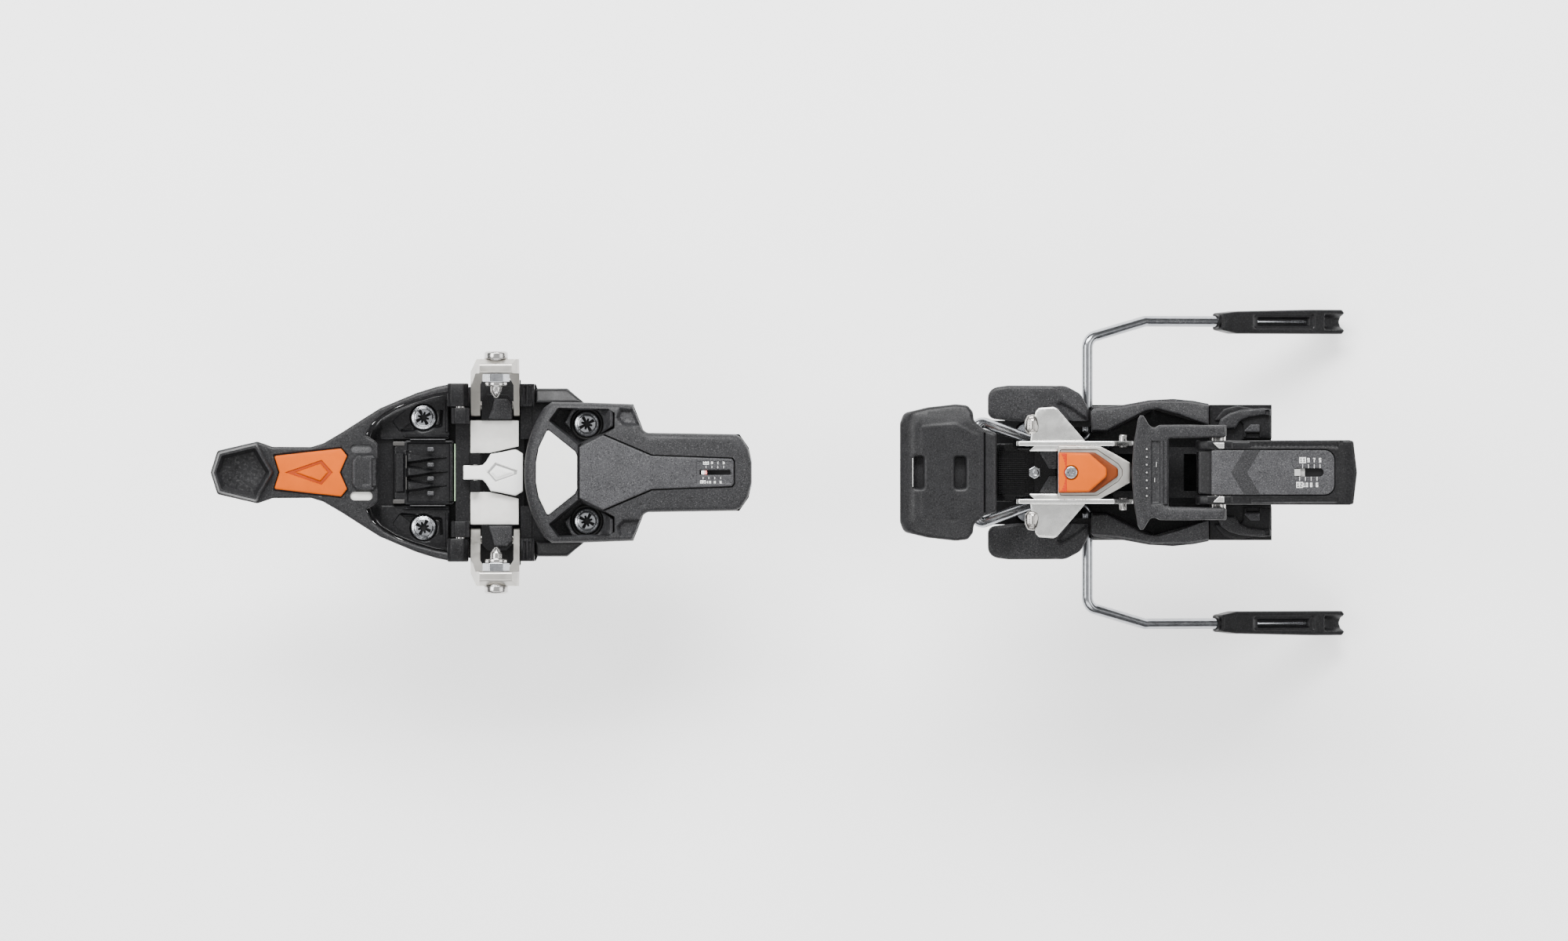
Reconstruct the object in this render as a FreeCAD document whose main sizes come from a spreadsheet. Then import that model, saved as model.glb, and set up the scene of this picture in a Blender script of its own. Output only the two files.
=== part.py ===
import FreeCAD, Part
import math
import os
import Sketcher

# Ski touring binding: a toe unit and a heel unit, as screwed to one ski.
# Origin: on the ski's top face, under the middle of the toe pins.
# +X to the tail of the ski, +Y to the left, +Z up. Sizes in millimetres.

os.makedirs("parts", exist_ok=True)
doc = FreeCAD.newDocument("TouringBinding")

# ---------------------------------------------------------------- sizes

SIZES = {
    # toe base and its rails
    "base_thick": 5.0,
    "platform_top": 11.0,
    "rail_top": 13.0,
    "rear_base_top": 12.6,
    "rail_half": 25.8,
    "groove_low": 7.7,
    "groove_high": 10.3,
    "front_rail_back": 10.9,
    "front_rail_front": 16.4,
    "rear_rail_front": 9.55,
    "rear_rail_back": 14.0,
    "ear_inner": 19.5,
    "ear_top": 21.5,
    # screws
    "front_screw_x": 29.3,
    "front_screw_y": 22.0,
    "rear_screw_x": 36.0,
    "rear_screw_y": 19.35,
    "screw_head_radius": 5.2,
    "screw_head_high": 2.9,
    "screw_shank_radius": 2.75,
    "screw_neck_radius": 2.55,
    "screw_hole_radius": 2.9,
    "screw_depth": 9.0,
    "recess_width": 1.7,
    "recess_long": 5.6,
    "recess_deep": 1.6,
    "front_head_seat": 7.6,
    "rear_head_seat": 14.4,
    "seat_ring_radius": 6.5,
    # toe lever
    "lever_low": 17.0,
    "lever_top": 22.0,
    "lever_rim": 26.0,
    "lever_pivot_x": 14.4,
    "lever_pivot_z": 16.8,
    "lever_pin_radius": 2.0,
    "knuckle_inner": 26.3,
    "knuckle_outer": 35.6,
    "eye_radius": 3.3,
    "lever_pin_inner": 19.8,
    "lever_pin_outer": 34.0,
    # toe carriage, plates and pedal
    "carriage_low": 5.3,
    "carriage_top": 12.4,
    "carriage_half": 20.9,
    "carriage_front": 10.6,
    "carriage_back": 9.25,
    "tongue_low": 8.05,
    "tongue_high": 9.95,
    "tongue_half": 17.0,
    "yoke_pivot_y": 26.5,
    "yoke_pivot_z": 10.8,
    "yoke_pin_radius": 2.0,
    "plate_inner": 7.7,
    "plate_outer": 20.8,
    "plate_thick": 1.2,
    "pedal_low": 14.1,
    "pedal_thick": 3.0,
    "pedal_pivot_x": 8.6,
    "pedal_pivot_z": 15.6,
    "pedal_pin_radius": 1.0,
    # toe yokes and pins
    "pin_height": 36.0,
    "pin_tip_y": 29.7,
    "pin_base_y": 34.5,
    "pin_radius": 2.45,
    "pin_collar_y": 36.0,
    "nut_outer_y": 39.4,
    "nut_across": 9.4,
    "yoke_outer_y": 45.2,
    "stub_outer_y": 48.3,
    "stub_radius": 4.7,
    "bolt_radius": 3.4,
    "yoke_front_leg": 10.3,
    "yoke_rear_leg": 9.2,
    # toe housing and release works
    "housing_top": 28.0,
    "housing_step": 21.0,
    "panel_thick": 1.4,
    "works_height": 15.0,
    "works_radius": 8.2,
    "works_front": 42.0,
    "works_back": 97.0,
    "rocker_x": 32.0,
    "rocker_reach": 20.0,
    "rocker_low": 8.2,
    "rocker_top": 19.0,
    "rocker_hub": 6.0,
    "rocker_pin": 2.5,
    "scale_slot_start": 81.1,
    "scale_slot_end": 93.3,
    "scale_slot_half": 0.9,
    # heel base and carriage
    "heel_base_front": 203.0,
    "heel_base_back": 309.0,
    "heel_base_half": 24.0,
    "heel_foot_half": 21.0,
    "heel_flange_low": 3.0,
    "heel_base_top": 6.0,
    "heel_screw_front": 212.0,
    "heel_screw_back": 300.0,
    "heel_screw_y": 15.0,
    "heel_head_seat": 3.0,
    "length_screw_z": 3.6,
    "length_screw_radius": 2.0,
    "slide_gap": 0.3,
    "block_half": 27.0,
    "deck_top": 9.0,
    "block_front": 222.0,
    "block_back": 309.2,
    "tower_half": 10.0,
    "tower_wall": 2.6,
    "tower_top": 37.0,
    # heel jaw
    "jaw_pivot_x": 249.7,
    "jaw_pivot_z": 40.0,
    "jaw_pin_radius": 1.6,
    "bar_inner": 10.5,
    "bar_outer": 12.5,
    "bar_front": 207.0,
    "bar_back": 254.0,
    "bar_low": 34.0,
    "bar_top": 50.0,
    "jaw_plate_low": 48.0,
    "cheek_low": 44.0,
    "cheek_top": 47.0,
    "lug_low": 36.0,
    "insert_top": 54.0,
    # heel lever, riser
    "rear_axle_x": 287.5,
    "rear_axle_z": 50.0,
    "rear_axle_radius": 3.0,
    "heel_lever_half": 12.9,
    "heel_rail_inner": 9.0,
    "heel_lever_front": 278.0,
    "heel_lever_back": 342.7,
    "heel_lever_low": 42.0,
    "heel_lever_top": 58.0,
    "spring_bore_radius": 6.2,
    "riser_arm_inner": 14.2,
    "riser_arm_outer": 19.0,
    "riser_low": 53.0,
    "riser_top": 61.0,
    # brake
    "brake_x": 235.8,
    "brake_z": 12.0,
    "brake_drop": 35.0,
    "brake_wire_radius": 2.2,
    "brake_arm_y": 60.5,
    "pad_bar_x": 190.5,
    "pad_bar_z": 47.0,
    "pad_low": 42.5,
    "pad_top": 51.0,
    "tip_width": 10.0,
    "tip_thick": 7.0,
    "tip_start": 64.5,
    "tip_end": 125.3,
    # shared
    "running_gap": 0.06,
    "small_round": 1.0,
}

sheet = doc.addObject("Spreadsheet::Sheet", "Dims")
for row, (name, size) in enumerate(SIZES.items(), start=1):
    sheet.set("A%d" % row, name)
    sheet.set("B%d" % row, str(size))
    sheet.setAlias("B%d" % row, name)
doc.recompute()


def size(name):
    """A size read from the sheet; a leading minus gives its negative."""
    if name.startswith("-"):
        return -float(sheet.get(name[1:]))
    return float(sheet.get(name))


def number(value):
    return size(value) if isinstance(value, str) else float(value)


def formula(value):
    if not isinstance(value, str):
        return repr(float(value))
    if value.startswith("-"):
        return "-Dims.%s" % value[1:]
    return "Dims.%s" % value


def negative(value):
    if isinstance(value, str):
        return value[1:] if value.startswith("-") else "-" + value
    return -value


# ---------------------------------------------------------------- outlines

def vec(x, y, z=0.0):
    return FreeCAD.Vector(x, y, z)


def corner_arc(before, corner, after, radius):
    """The two tangent points and the arc that round one corner."""
    a = vec(*before).sub(vec(*corner))
    b = vec(*after).sub(vec(*corner))
    half = a.getAngle(b) / 2
    reach = min(radius / math.tan(half), 0.48 * a.Length, 0.48 * b.Length)
    true_radius = reach * math.tan(half)
    a.normalize()
    b.normalize()
    start = vec(*corner).add(a.multiply(reach))
    end = vec(*corner).add(b.multiply(reach))
    middle = start.add(end).multiply(0.5)
    out = middle.sub(vec(*corner))
    out.normalize()
    centre = vec(*corner).add(out.multiply(true_radius / math.sin(half)))
    to_corner = vec(*corner).sub(centre)
    to_corner.normalize()
    bulge = centre.add(to_corner.multiply(true_radius))
    return start, bulge, end


def loop(points, radius=0.0):
    """Closed outline of straight lines, with one radius or one per corner."""
    count = len(points)
    radii = radius if isinstance(radius, (list, tuple)) else [radius] * count
    pieces = []
    ends = []
    for i in range(count):
        if radii[i] > 0.01:
            start, bulge, end = corner_arc(points[i - 1], points[i], points[(i + 1) % count], radii[i])
            ends.append((start, end))
            pieces.append(Part.Arc(start, bulge, end))
        else:
            ends.append((vec(*points[i]), vec(*points[i])))
            pieces.append(None)
    edges = []
    for i in range(count):
        if pieces[i]:
            edges.append(pieces[i])
        start = ends[i][1]
        end = ends[(i + 1) % count][0]
        if start.distanceToPoint(end) > 1e-4:
            edges.append(Part.LineSegment(start, end))
    return ("edges", edges)


def arc_loop(first, bulge, last, rest):
    """Closed outline that begins with an arc and goes on with straight lines."""
    edges = [Part.Arc(vec(*first), vec(*bulge), vec(*last))]
    points = [last] + list(rest) + [first]
    for a, b in zip(points, points[1:]):
        edges.append(Part.LineSegment(vec(*a), vec(*b)))
    return ("edges", edges)


def mirrored(points):
    """Both halves of an outline given for one side only."""
    back = [(x, -y) for x, y in reversed(points) if abs(y) > 1e-6]
    return list(points) + back


def flip(points):
    return [(x, -y) for x, y in points]


def rect(x0, x1, y0, y1):
    return ("rect", x0, x1, y0, y1)


def circle(cx, cy, radius):
    return ("circle", cx, cy, radius)


def slot(x0, x1, y, half):
    return loop([(x0, y - half), (x1, y - half), (x1, y + half), (x0, y + half)], half * 0.98)


def tie(sketch, kind, geo, pos, value):
    """Hold one coordinate of a point at a size from the sheet."""
    amount = number(value)
    if abs(amount) < 1e-9:
        axis = -2 if kind == "DistanceX" else -1
        sketch.addConstraint(Sketcher.Constraint("PointOnObject", geo, pos, axis))
        return
    if amount > 0:
        index = sketch.addConstraint(Sketcher.Constraint(kind, -1, 1, geo, pos, amount))
        text = formula(value)
    else:
        index = sketch.addConstraint(Sketcher.Constraint(kind, geo, pos, -1, 1, -amount))
        text = formula(negative(value))
    if isinstance(value, str):
        sketch.setExpression("Constraints[%d]" % index, text)


def draw(sketch, shapes):
    for shape in shapes:
        if shape[0] == "rect":
            x0, x1, y0, y1 = shape[1:]
            corners = [(x0, y0), (x1, y0), (x1, y1), (x0, y1)]
            places = [vec(number(x), number(y)) for x, y in corners]
            first = sketch.GeometryCount
            for i in range(4):
                sketch.addGeometry(Part.LineSegment(places[i], places[(i + 1) % 4]))
            for i in range(4):
                follows = first + (i + 1) % 4
                sketch.addConstraint(Sketcher.Constraint("Coincident", first + i, 2, follows, 1))
                side = "Horizontal" if i % 2 == 0 else "Vertical"
                sketch.addConstraint(Sketcher.Constraint(side, first + i))
            tie(sketch, "DistanceX", first, 1, x0)
            tie(sketch, "DistanceY", first, 1, y0)
            tie(sketch, "DistanceX", first + 1, 2, x1)
            tie(sketch, "DistanceY", first + 1, 2, y1)
        elif shape[0] == "circle":
            cx, cy, radius = shape[1:]
            ring = Part.Circle(vec(number(cx), number(cy)), vec(0, 0, 1), number(radius))
            index = sketch.addGeometry(ring)
            fixed = sketch.addConstraint(Sketcher.Constraint("Radius", index, number(radius)))
            if isinstance(radius, str):
                sketch.setExpression("Constraints[%d]" % fixed, formula(radius))
            tie(sketch, "DistanceX", index, 3, cx)
            tie(sketch, "DistanceY", index, 3, cy)
        else:
            for edge in shape[1]:
                sketch.addGeometry(edge)


# ---------------------------------------------------------------- features

def new_body(label, several=False):
    body = doc.addObject("PartDesign::Body", label)
    body.Label = label
    if several:
        body.AllowCompound = True
    return body


def plane_of(body, role):
    return next(item for item in body.Origin.OriginFeatures if item.Role == role)


def new_sketch(body, plane, level, shapes):
    """A sketch on one origin plane, moved out along that plane's normal to a level."""
    sketch = body.newObject("Sketcher::SketchObject", body.Label + "_sketch")
    sketch.AttachmentSupport = [(plane_of(body, plane + "_Plane"), "")]
    sketch.MapMode = "FlatFace"
    # the XZ plane looks along -Y, so a level in Y is measured backwards
    wanted = negative(level) if plane == "XZ" else level
    sketch.AttachmentOffset = FreeCAD.Placement(vec(0, 0, number(wanted)), FreeCAD.Rotation())
    if isinstance(level, str):
        sketch.setExpression("AttachmentOffset.Base.z", formula(wanted))
    draw(sketch, shapes)
    sketch.Visibility = False
    return sketch


def span(low, high):
    if isinstance(low, str) or isinstance(high, str):
        return "%s - (%s)" % (formula(high), formula(low))
    return None


def pad(body, plane, shapes, low, high):
    """Material between two levels along the plane's axis."""
    feature = body.newObject("PartDesign::Pad", body.Label + "_pad")
    start = high if plane == "XZ" else low
    feature.Profile = new_sketch(body, plane, start, shapes)
    feature.Length = abs(number(high) - number(low))
    if span(low, high):
        feature.setExpression("Length", span(low, high))
    body.Tip = feature
    return feature


def pocket(body, plane, shapes, low, high):
    """Material taken away between two levels along the plane's axis."""
    feature = body.newObject("PartDesign::Pocket", body.Label + "_pocket")
    start = low if plane == "XZ" else high
    feature.Profile = new_sketch(body, plane, start, shapes)
    feature.Type = 0
    feature.Length = abs(number(high) - number(low))
    if span(low, high):
        feature.setExpression("Length", span(low, high))
    body.Tip = feature
    return feature


def revolve(body, plane, shapes, axis, level=0.0):
    feature = body.newObject("PartDesign::Revolution", body.Label + "_turn")
    sketch = new_sketch(body, plane, level, shapes)
    feature.Profile = sketch
    feature.ReferenceAxis = (sketch, [axis])
    feature.Angle = 360.0
    body.Tip = feature
    return feature


def edges_at(feature, test):
    doc.recompute()
    names = []
    for i, edge in enumerate(feature.Shape.Edges, start=1):
        if test(edge):
            names.append("Edge%d" % i)
    return names


def level_edges(z, longer=2.0):
    def test(edge):
        box = edge.BoundBox
        return abs(box.ZMin - z) < 1e-3 and abs(box.ZMax - z) < 1e-3 and edge.Length > longer
    return test


def chamfer(body, feature, test, amount):
    names = edges_at(feature, test)
    cut = body.newObject("PartDesign::Chamfer", body.Label + "_chamfer")
    cut.Base = (feature, names)
    cut.Size = number(amount)
    body.Tip = cut
    return cut


def fillet(body, feature, test, amount):
    names = edges_at(feature, test)
    rounding = body.newObject("PartDesign::Fillet", body.Label + "_fillet")
    rounding.Base = (feature, names)
    rounding.Radius = number(amount)
    body.Tip = rounding
    return rounding


def shaped(label, shape, place=None):
    """A sub-part whose surface follows a space curve, which no sketch feature makes."""
    item = doc.addObject("Part::Feature", label)
    item.Label = label
    item.Shape = shape
    if place:
        item.Placement = place
    return item


def helix_spring(radius, wire, pitch, turns, start, axis):
    """A closed coil swept round an axis line."""
    height = pitch * turns
    path = Part.makeHelix(pitch, height, radius)
    ring = Part.Wire([Part.makeCircle(wire, vec(radius, 0, 0), vec(0, 1, 0))])
    coil = Part.Wire(path.Edges).makePipeShell([ring], True, True)
    coil.Placement = FreeCAD.Placement(start, FreeCAD.Rotation(vec(0, 0, 1), axis))
    return coil


def wire_path(points, radii):
    """A wire through space points with its inner corners rounded."""
    edges = []
    last = vec(*points[0])
    for i in range(1, len(points) - 1):
        corner = vec(*points[i])
        a = vec(*points[i - 1]).sub(corner)
        b = vec(*points[i + 1]).sub(corner)
        half = a.getAngle(b) / 2
        reach = radii[i - 1] / math.tan(half)
        a.normalize()
        b.normalize()
        start = corner.add(vec(a.x, a.y, a.z).multiply(reach))
        end = corner.add(vec(b.x, b.y, b.z).multiply(reach))
        out = a.add(b)
        out.normalize()
        centre = corner.add(vec(out.x, out.y, out.z).multiply(radii[i - 1] / math.sin(half)))
        bulge = centre.sub(vec(out.x, out.y, out.z).multiply(radii[i - 1]))
        edges.append(Part.LineSegment(last, start).toShape())
        edges.append(Part.Arc(start, bulge, end).toShape())
        last = end
    edges.append(Part.LineSegment(last, vec(*points[-1])).toShape())
    return Part.Wire(edges)


# ---------------------------------------------------------------- toe unit: base and screws

def both(points):
    """One outline on each side of the ski's centre line."""
    return [loop(points), loop(flip(points))]


def make_toe_base():
    body = new_body("toe_base")
    plate = mirrored([
        (-53.6, 0), (-53.6, 11.5), (-50.5, 18.5), (-46.2, 22.8), (-40, 26), (-33, 28.9), (-25, 31.4),
        (-18, 33.2), (-10.5, 34.2), (-10.5, 37), (9.5, 37), (9.5, 35.3), (15.5, 35.3), (16.2, 33.6), (28.1, 33.6),
        (34.7, 28), (54.5, 27.3), (55.3, 24.5), (59, 15.9), (96.9, 15.3), (100.6, 10), (101.9, 4),
    ])
    pad(body, "XY", [loop(plate)], 0.0, "base_thick")
    wings = [
        (-46.4, 13.6), (-46.0, 21.4), (-40, 24.8), (-33, 27.6), (-25, 30), (-19, 31.2), (-19, 13.6),
    ]
    pad(body, "XY", both(wings), "base_thick", "platform_top")
    nose = mirrored([(-51.2, 0), (-51.2, 13.2), (-49.8, 17.5), (-46.0, 21.4), (-41.2, 21.4)])
    pad(body, "XY", [loop(nose)], "base_thick", 10.0)
    pad(body, "XY", [rect("-front_rail_front", "-front_rail_back", "-rail_half", "rail_half")],
        "base_thick", "rail_top")
    pad(body, "XY", [rect("rear_rail_front", "rear_rail_back", -31.0, 31.0)], "base_thick", "rail_top")
    ears = [(-17.8, 19.5), (-10.9, 19.5), (-10.9, 25.8), (-17.8, 25.8)]
    pad(body, "XY", both(ears), "base_thick", "ear_top")
    knuckles = [(9.6, 26.5), (15, 26.5), (15, 35.3), (9.6, 35.3)]
    pad(body, "XY", both(knuckles), "base_thick", 20.0)
    block = mirrored([
        (14, 0), (14, 33.4), (28.1, 33.4), (34.7, 27.9), (54.5, 27.2), (55.3, 24.4), (58.9, 15.8),
        (96.9, 15.2), (100.5, 9.9), (101.8, 4),
    ])
    pad(body, "XY", [loop(block)], "base_thick", "rear_base_top")
    # grooves that guide the carriage
    pocket(body, "YZ", [rect(-26.5, 26.5, "groove_low", "groove_high")], -12.7, "-front_rail_back")
    pocket(body, "YZ", [rect(-31.5, 31.5, "groove_low", "groove_high")], 9.5, 11.3)
    # room for the rocker, and for the tab that turns it
    pocket(body, "XY", [rect(9.5, 16.2, -13.4, 13.4)], 7.2, "rail_top")
    pocket(body, "XY", [rect(16.1, 44.0, -9.2, 9.2)], 7.2, "rear_base_top")
    pocket(body, "YZ", [circle(0.0, "works_height", "works_radius")], "works_front", "works_back")
    pocket(body, "YZ", [circle(0.0, "works_height", 3.05)], 96.5, 99.5)
    pocket(body, "YZ", [circle(0.0, "works_height", 6.3)], 99.0, 103.0)
    # screw holes, and the faceted recesses round the front ones
    spots = [(x, y) for x, y in (("-front_screw_x", "front_screw_y"), ("-front_screw_x", "-front_screw_y"),
                                 ("rear_screw_x", "rear_screw_y"), ("rear_screw_x", "-rear_screw_y"))]
    pocket(body, "XY", [circle(x, y, "screw_hole_radius") for x, y in spots], 0.0, "rail_top")
    recess = [(-38.6, 16.8), (-35.6, 15.4), (-21.6, 15.4), (-20.6, 18.0), (-20.6, 24.6), (-23, 25.2), (-31.5, 22.6)]
    pocket(body, "XY", both(recess), 9.4, "platform_top")
    wells = [circle("-front_screw_x", "front_screw_y", 5.6), circle("-front_screw_x", "-front_screw_y", 5.6)]
    pocket(body, "XY", wells, "front_head_seat", "platform_top")
    holes = [circle("-lever_pivot_x", "lever_pivot_z", "lever_pin_radius")]
    pocket(body, "XZ", holes, "-rail_half", "-lever_pin_inner")
    pocket(body, "XZ", holes, "lever_pin_inner", "rail_half")
    # ribs of the rear knuckles
    for x in (10.9, 12.9):
        pocket(body, "XY", [rect(x, x + 0.8, 27.5, 34.4), rect(x, x + 0.8, -34.4, -27.5)], 18.8, 20.0)
    return body


def make_screws(label, x, y, seat):
    """Two countersunk wood screws with cross recesses, shanks into the ski."""
    body = new_body(label, several=True)
    spots = [(x, y), (x, negative(y))]
    low = number(seat)
    pad(body, "XY", [circle(a, b, "screw_neck_radius") for a, b in spots], -1.0, seat)
    pad(body, "XY", [circle(a, b, "screw_shank_radius") for a, b in spots], "-screw_depth", -0.4)
    top = low + size("screw_head_high")
    head = pad(body, "XY", [circle(a, b, "screw_head_radius") for a, b in spots], low, top)
    cx, cy = number(x), number(y)
    half_long = size("recess_long") / 2
    half_wide = size("recess_width") / 2
    for sign in (1, -1):
        bars = [rect(cx - half_long, cx + half_long, sign * cy - half_wide, sign * cy + half_wide)]
        pocket(body, "XY", bars, top - size("recess_deep"), top)
        bars = [rect(cx - half_wide, cx + half_wide, sign * cy - half_long, sign * cy + half_long)]
        last = pocket(body, "XY", bars, top - size("recess_deep"), top)

    def rim(edge):
        return level_edges(top)(edge) and edge.Length > 20
    chamfer(body, last, rim, 0.6)
    return body


def make_seat_rings():
    body = new_body("seat_rings", several=True)
    low = size("rear_head_seat")
    spots = [("rear_screw_x", "rear_screw_y"), ("rear_screw_x", "-rear_screw_y")]
    pad(body, "XY", [circle(a, b, "seat_ring_radius") for a, b in spots], low, low + 1.8)
    pocket(body, "XY", [circle(a, b, 5.5) for a, b in spots], low, low + 1.8)
    return body


def make_front_block():
    body = new_body("front_block")
    outline = mirrored([(-41.0, 0), (-41.0, 10.4), (-36, 12.9), (-17.0, 12.9)])
    pad(body, "XY", [loop(outline)], "base_thick", 13.0)
    pad(body, "XY", [rect(-40.6, -36.4, -8.0, 8.0)], 13.0, 15.5)
    for tip, y in ((-19.9, 5.7), (-19.6, 0.2), (-19.9, -5.3)):
        rib = [(-36.0, y - 1.9), (-30.0, y - 1.5), (tip, y), (-30.0, y + 1.5), (-36.0, y + 1.9)]
        pad(body, "XY", [loop(rib)], 13.0, 16.4)
    pad(body, "XY", [rect(-19.0, -17.0, -11.6, 11.6)], 13.0, 15.2)
    return body


def make_block_pads():
    body = new_body("block_pads", several=True)
    pads = [rect(-27.8, -25.0, y - 0.9, y + 0.9) for y in (9.3, 3.1, -2.4, -8.3)]
    pad(body, "XY", pads, 13.0, 14.4)
    return body


def make_guide_tabs():
    body = new_body("guide_tabs", several=True)
    pad(body, "XY", both([(-34.5, 13.0), (-20.5, 13.0), (-20.5, 13.35), (-34.5, 13.35)]), "base_thick", 14.6)
    return body


def make_seal_strip():
    body = new_body("seal_strip")
    pad(body, "XY", [rect(-16.9, -16.45, -11.4, 11.4)], 5.0, 13.8)
    return body


# ---------------------------------------------------------------- toe lever

LEVER_SIDE = [
    (-111.4, 8.7), (-95.4, 12.4), (-89.4, 10.3), (-74, 10.2), (-69.1, 11.7), (-61.6, 16.1), (-54.1, 20.9),
    (-46.6, 25.6), (-39.1, 28.8), (-31.6, 31.9), (-24.1, 34.2), (-17.8, 35.5),
]


def make_toe_lever():
    body = new_body("toe_lever")
    inner = [
        (-17.8, 31.9), (-24.1, 30.9), (-31.6, 28.9), (-39.1, 26.2), (-45.0, 23.0), (-49.4, 19.4), (-52.0, 14.6),
        (-48.6, 12.8), (-47.2, 11.4), (-47.2, 6.0), (-47.2, 0.0),
    ]
    half = [(-114.1, 0.0)] + LEVER_SIDE + inner
    pad(body, "XY", [loop(mirrored(half))], "lever_low", "lever_top")
    pivot_x = -size("lever_pivot_x")
    pivot_z = size("lever_pivot_z")
    reach = size("eye_radius")
    eye = arc_loop((pivot_x, pivot_z - reach), (pivot_x + reach, pivot_z), (pivot_x, pivot_z + reach),
                   [(-16.6, 22.0), (-19.4, 22.0), (-19.4, 17.0), (-17.8, pivot_z - reach)])
    pad(body, "XZ", [eye], "knuckle_inner", "knuckle_outer")
    pad(body, "XZ", [eye], "-knuckle_outer", "-knuckle_inner")
    cup = mirrored([(-114.1, 0.0), (-111.4, 8.7), (-95.4, 12.4), (-88.1, 0.0)])
    pad(body, "XY", [loop(cup, 0.8)], 19.0, "lever_rim")
    floor = mirrored([(-112.4, 0.0), (-110.0, 7.2), (-96.0, 10.5), (-90.2, 0.0)])
    pocket(body, "XY", [loop(floor, 0.8)], 20.2, "lever_rim")
    well = mirrored([(-87.4, 0.0), (-89.6, 7.6), (-62.0, 10.5), (-58.6, 7.1), (-61.5, 0.0)])
    pocket(body, "XY", [loop(well)], 19.8, "lever_top")
    slots = [slot(-58.4, -49.4, 9.4, 1.8), slot(-58.4, -49.4, -9.4, 1.8)]
    pocket(body, "XY", slots, "lever_low", "lever_top")
    pad(body, "XY", [rect(-56.7, -49.3, -6.6, 6.6)], "lever_top", 23.4)
    pad(body, "XY", [rect(-49.4, -47.3, -6.0, 6.0)], "lever_top", 24.4)
    holes = [circle("-lever_pivot_x", "lever_pivot_z", 2.06)]
    pocket(body, "XZ", holes, 26.0, 36.0)
    pocket(body, "XZ", holes, -36.0, -26.0)
    return body


def make_lever_insert():
    body = new_body("lever_insert")
    kite = mirrored([(-86.6, 0.0), (-88.8, 6.7), (-62.0, 9.7), (-59.5, 6.7), (-62.4, 0.0)])
    base = pad(body, "XY", [loop(kite, 0.5)], 19.8, 22.6)
    mark = mirrored([(-84.7, 0.0), (-69.7, 5.1), (-65.2, 0.0)])
    pocket(body, "XY", [loop(mark)], 22.2, 22.6)
    return body


def make_lever_pins():
    body = new_body("lever_pins", several=True)
    holes = [circle("-lever_pivot_x", "lever_pivot_z", "lever_pin_radius")]
    pad(body, "XZ", holes, "lever_pin_inner", "lever_pin_outer")
    pad(body, "XZ", holes, "-lever_pin_outer", "-lever_pin_inner")
    return body


# ---------------------------------------------------------------- toe carriage

def make_toe_carriage():
    body = new_body("toe_carriage")
    pad(body, "XY", [rect("-carriage_front", "carriage_back", -20.9, 20.9)], "carriage_low", "carriage_top")
    ears = [(-6.0, 20.85), (6.3, 20.85), (6.3, 28.6), (4.0, 31.0), (-3.6, 31.0), (-6.0, 28.6)]
    pad(body, "XY", both(ears), "carriage_low", 15.4)
    tongues = [rect(-12.3, 11.0, "-tongue_half", "tongue_half")]
    pad(body, "XY", tongues, "tongue_low", "tongue_high")
    pad(body, "XY", [rect(9.0, 14.6, -4.7, 4.7)], 8.2, 12.2)
    pad(body, "XY", [rect(-10.6, -6.6, 3.2, 7.4), rect(-10.6, -6.6, -7.4, -3.2)], "carriage_top", 17.6)
    pocket(body, "XY", [rect(9.3, 15.0, -2.9, 2.9)], 8.0, 12.4)
    pocket(body, "XY", [rect(-5.8, 9.25, -7.4, 7.4)], 10.4, "carriage_top")
    pins = [circle("yoke_pivot_y", "yoke_pivot_z", "yoke_pin_radius"),
            circle("-yoke_pivot_y", "yoke_pivot_z", "yoke_pin_radius")]
    pocket(body, "YZ", pins, -7.0, 7.0)
    pedal_hole = [circle("-pedal_pivot_x", "pedal_pivot_z", "pedal_pin_radius")]
    pocket(body, "XZ", pedal_hole, -6.4, -3.2)
    pocket(body, "XZ", pedal_hole, 3.2, 6.4)
    return body


def make_slide_plates():
    body = new_body("slide_plates", several=True)
    outline = [(-10.5, 7.7), (1.0, 7.9), (8.75, 9.9), (8.75, 20.8), (-10.5, 20.8)]
    low = size("carriage_top")
    pad(body, "XY", both(outline), low, low + size("plate_thick"))
    return body


def make_yoke_pins():
    body = new_body("yoke_pins", several=True)
    pins = [circle("yoke_pivot_y", "yoke_pivot_z", "yoke_pin_radius"),
            circle("-yoke_pivot_y", "yoke_pivot_z", "yoke_pin_radius")]
    pad(body, "YZ", pins, -10.4, 9.3)
    return body


def make_pedal():
    body = new_body("step_pedal")
    outline = mirrored([(-13.3, 0), (-13.3, 2.85), (-5.4, 2.85), (-2.4, 7.4), (7.5, 9.3), (10.5, 7.6)])
    low = size("pedal_low")
    top = low + size("pedal_thick")
    pad(body, "XY", [loop(outline)], low, top)
    mark = [(-3.7, 0), (-0.5, 3.8), (8.25, 0), (-0.5, -3.8)]
    pocket(body, "XY", [loop(mark)], top - 0.6, top)
    pocket(body, "XZ", [circle("-pedal_pivot_x", "pedal_pivot_z", 1.05)], -4.0, 4.0)
    return body


def make_pedal_pin():
    body = new_body("pedal_pin")
    pad(body, "XZ", [circle("-pedal_pivot_x", "pedal_pivot_z", "pedal_pin_radius")], -6.4, 6.4)
    return body


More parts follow.
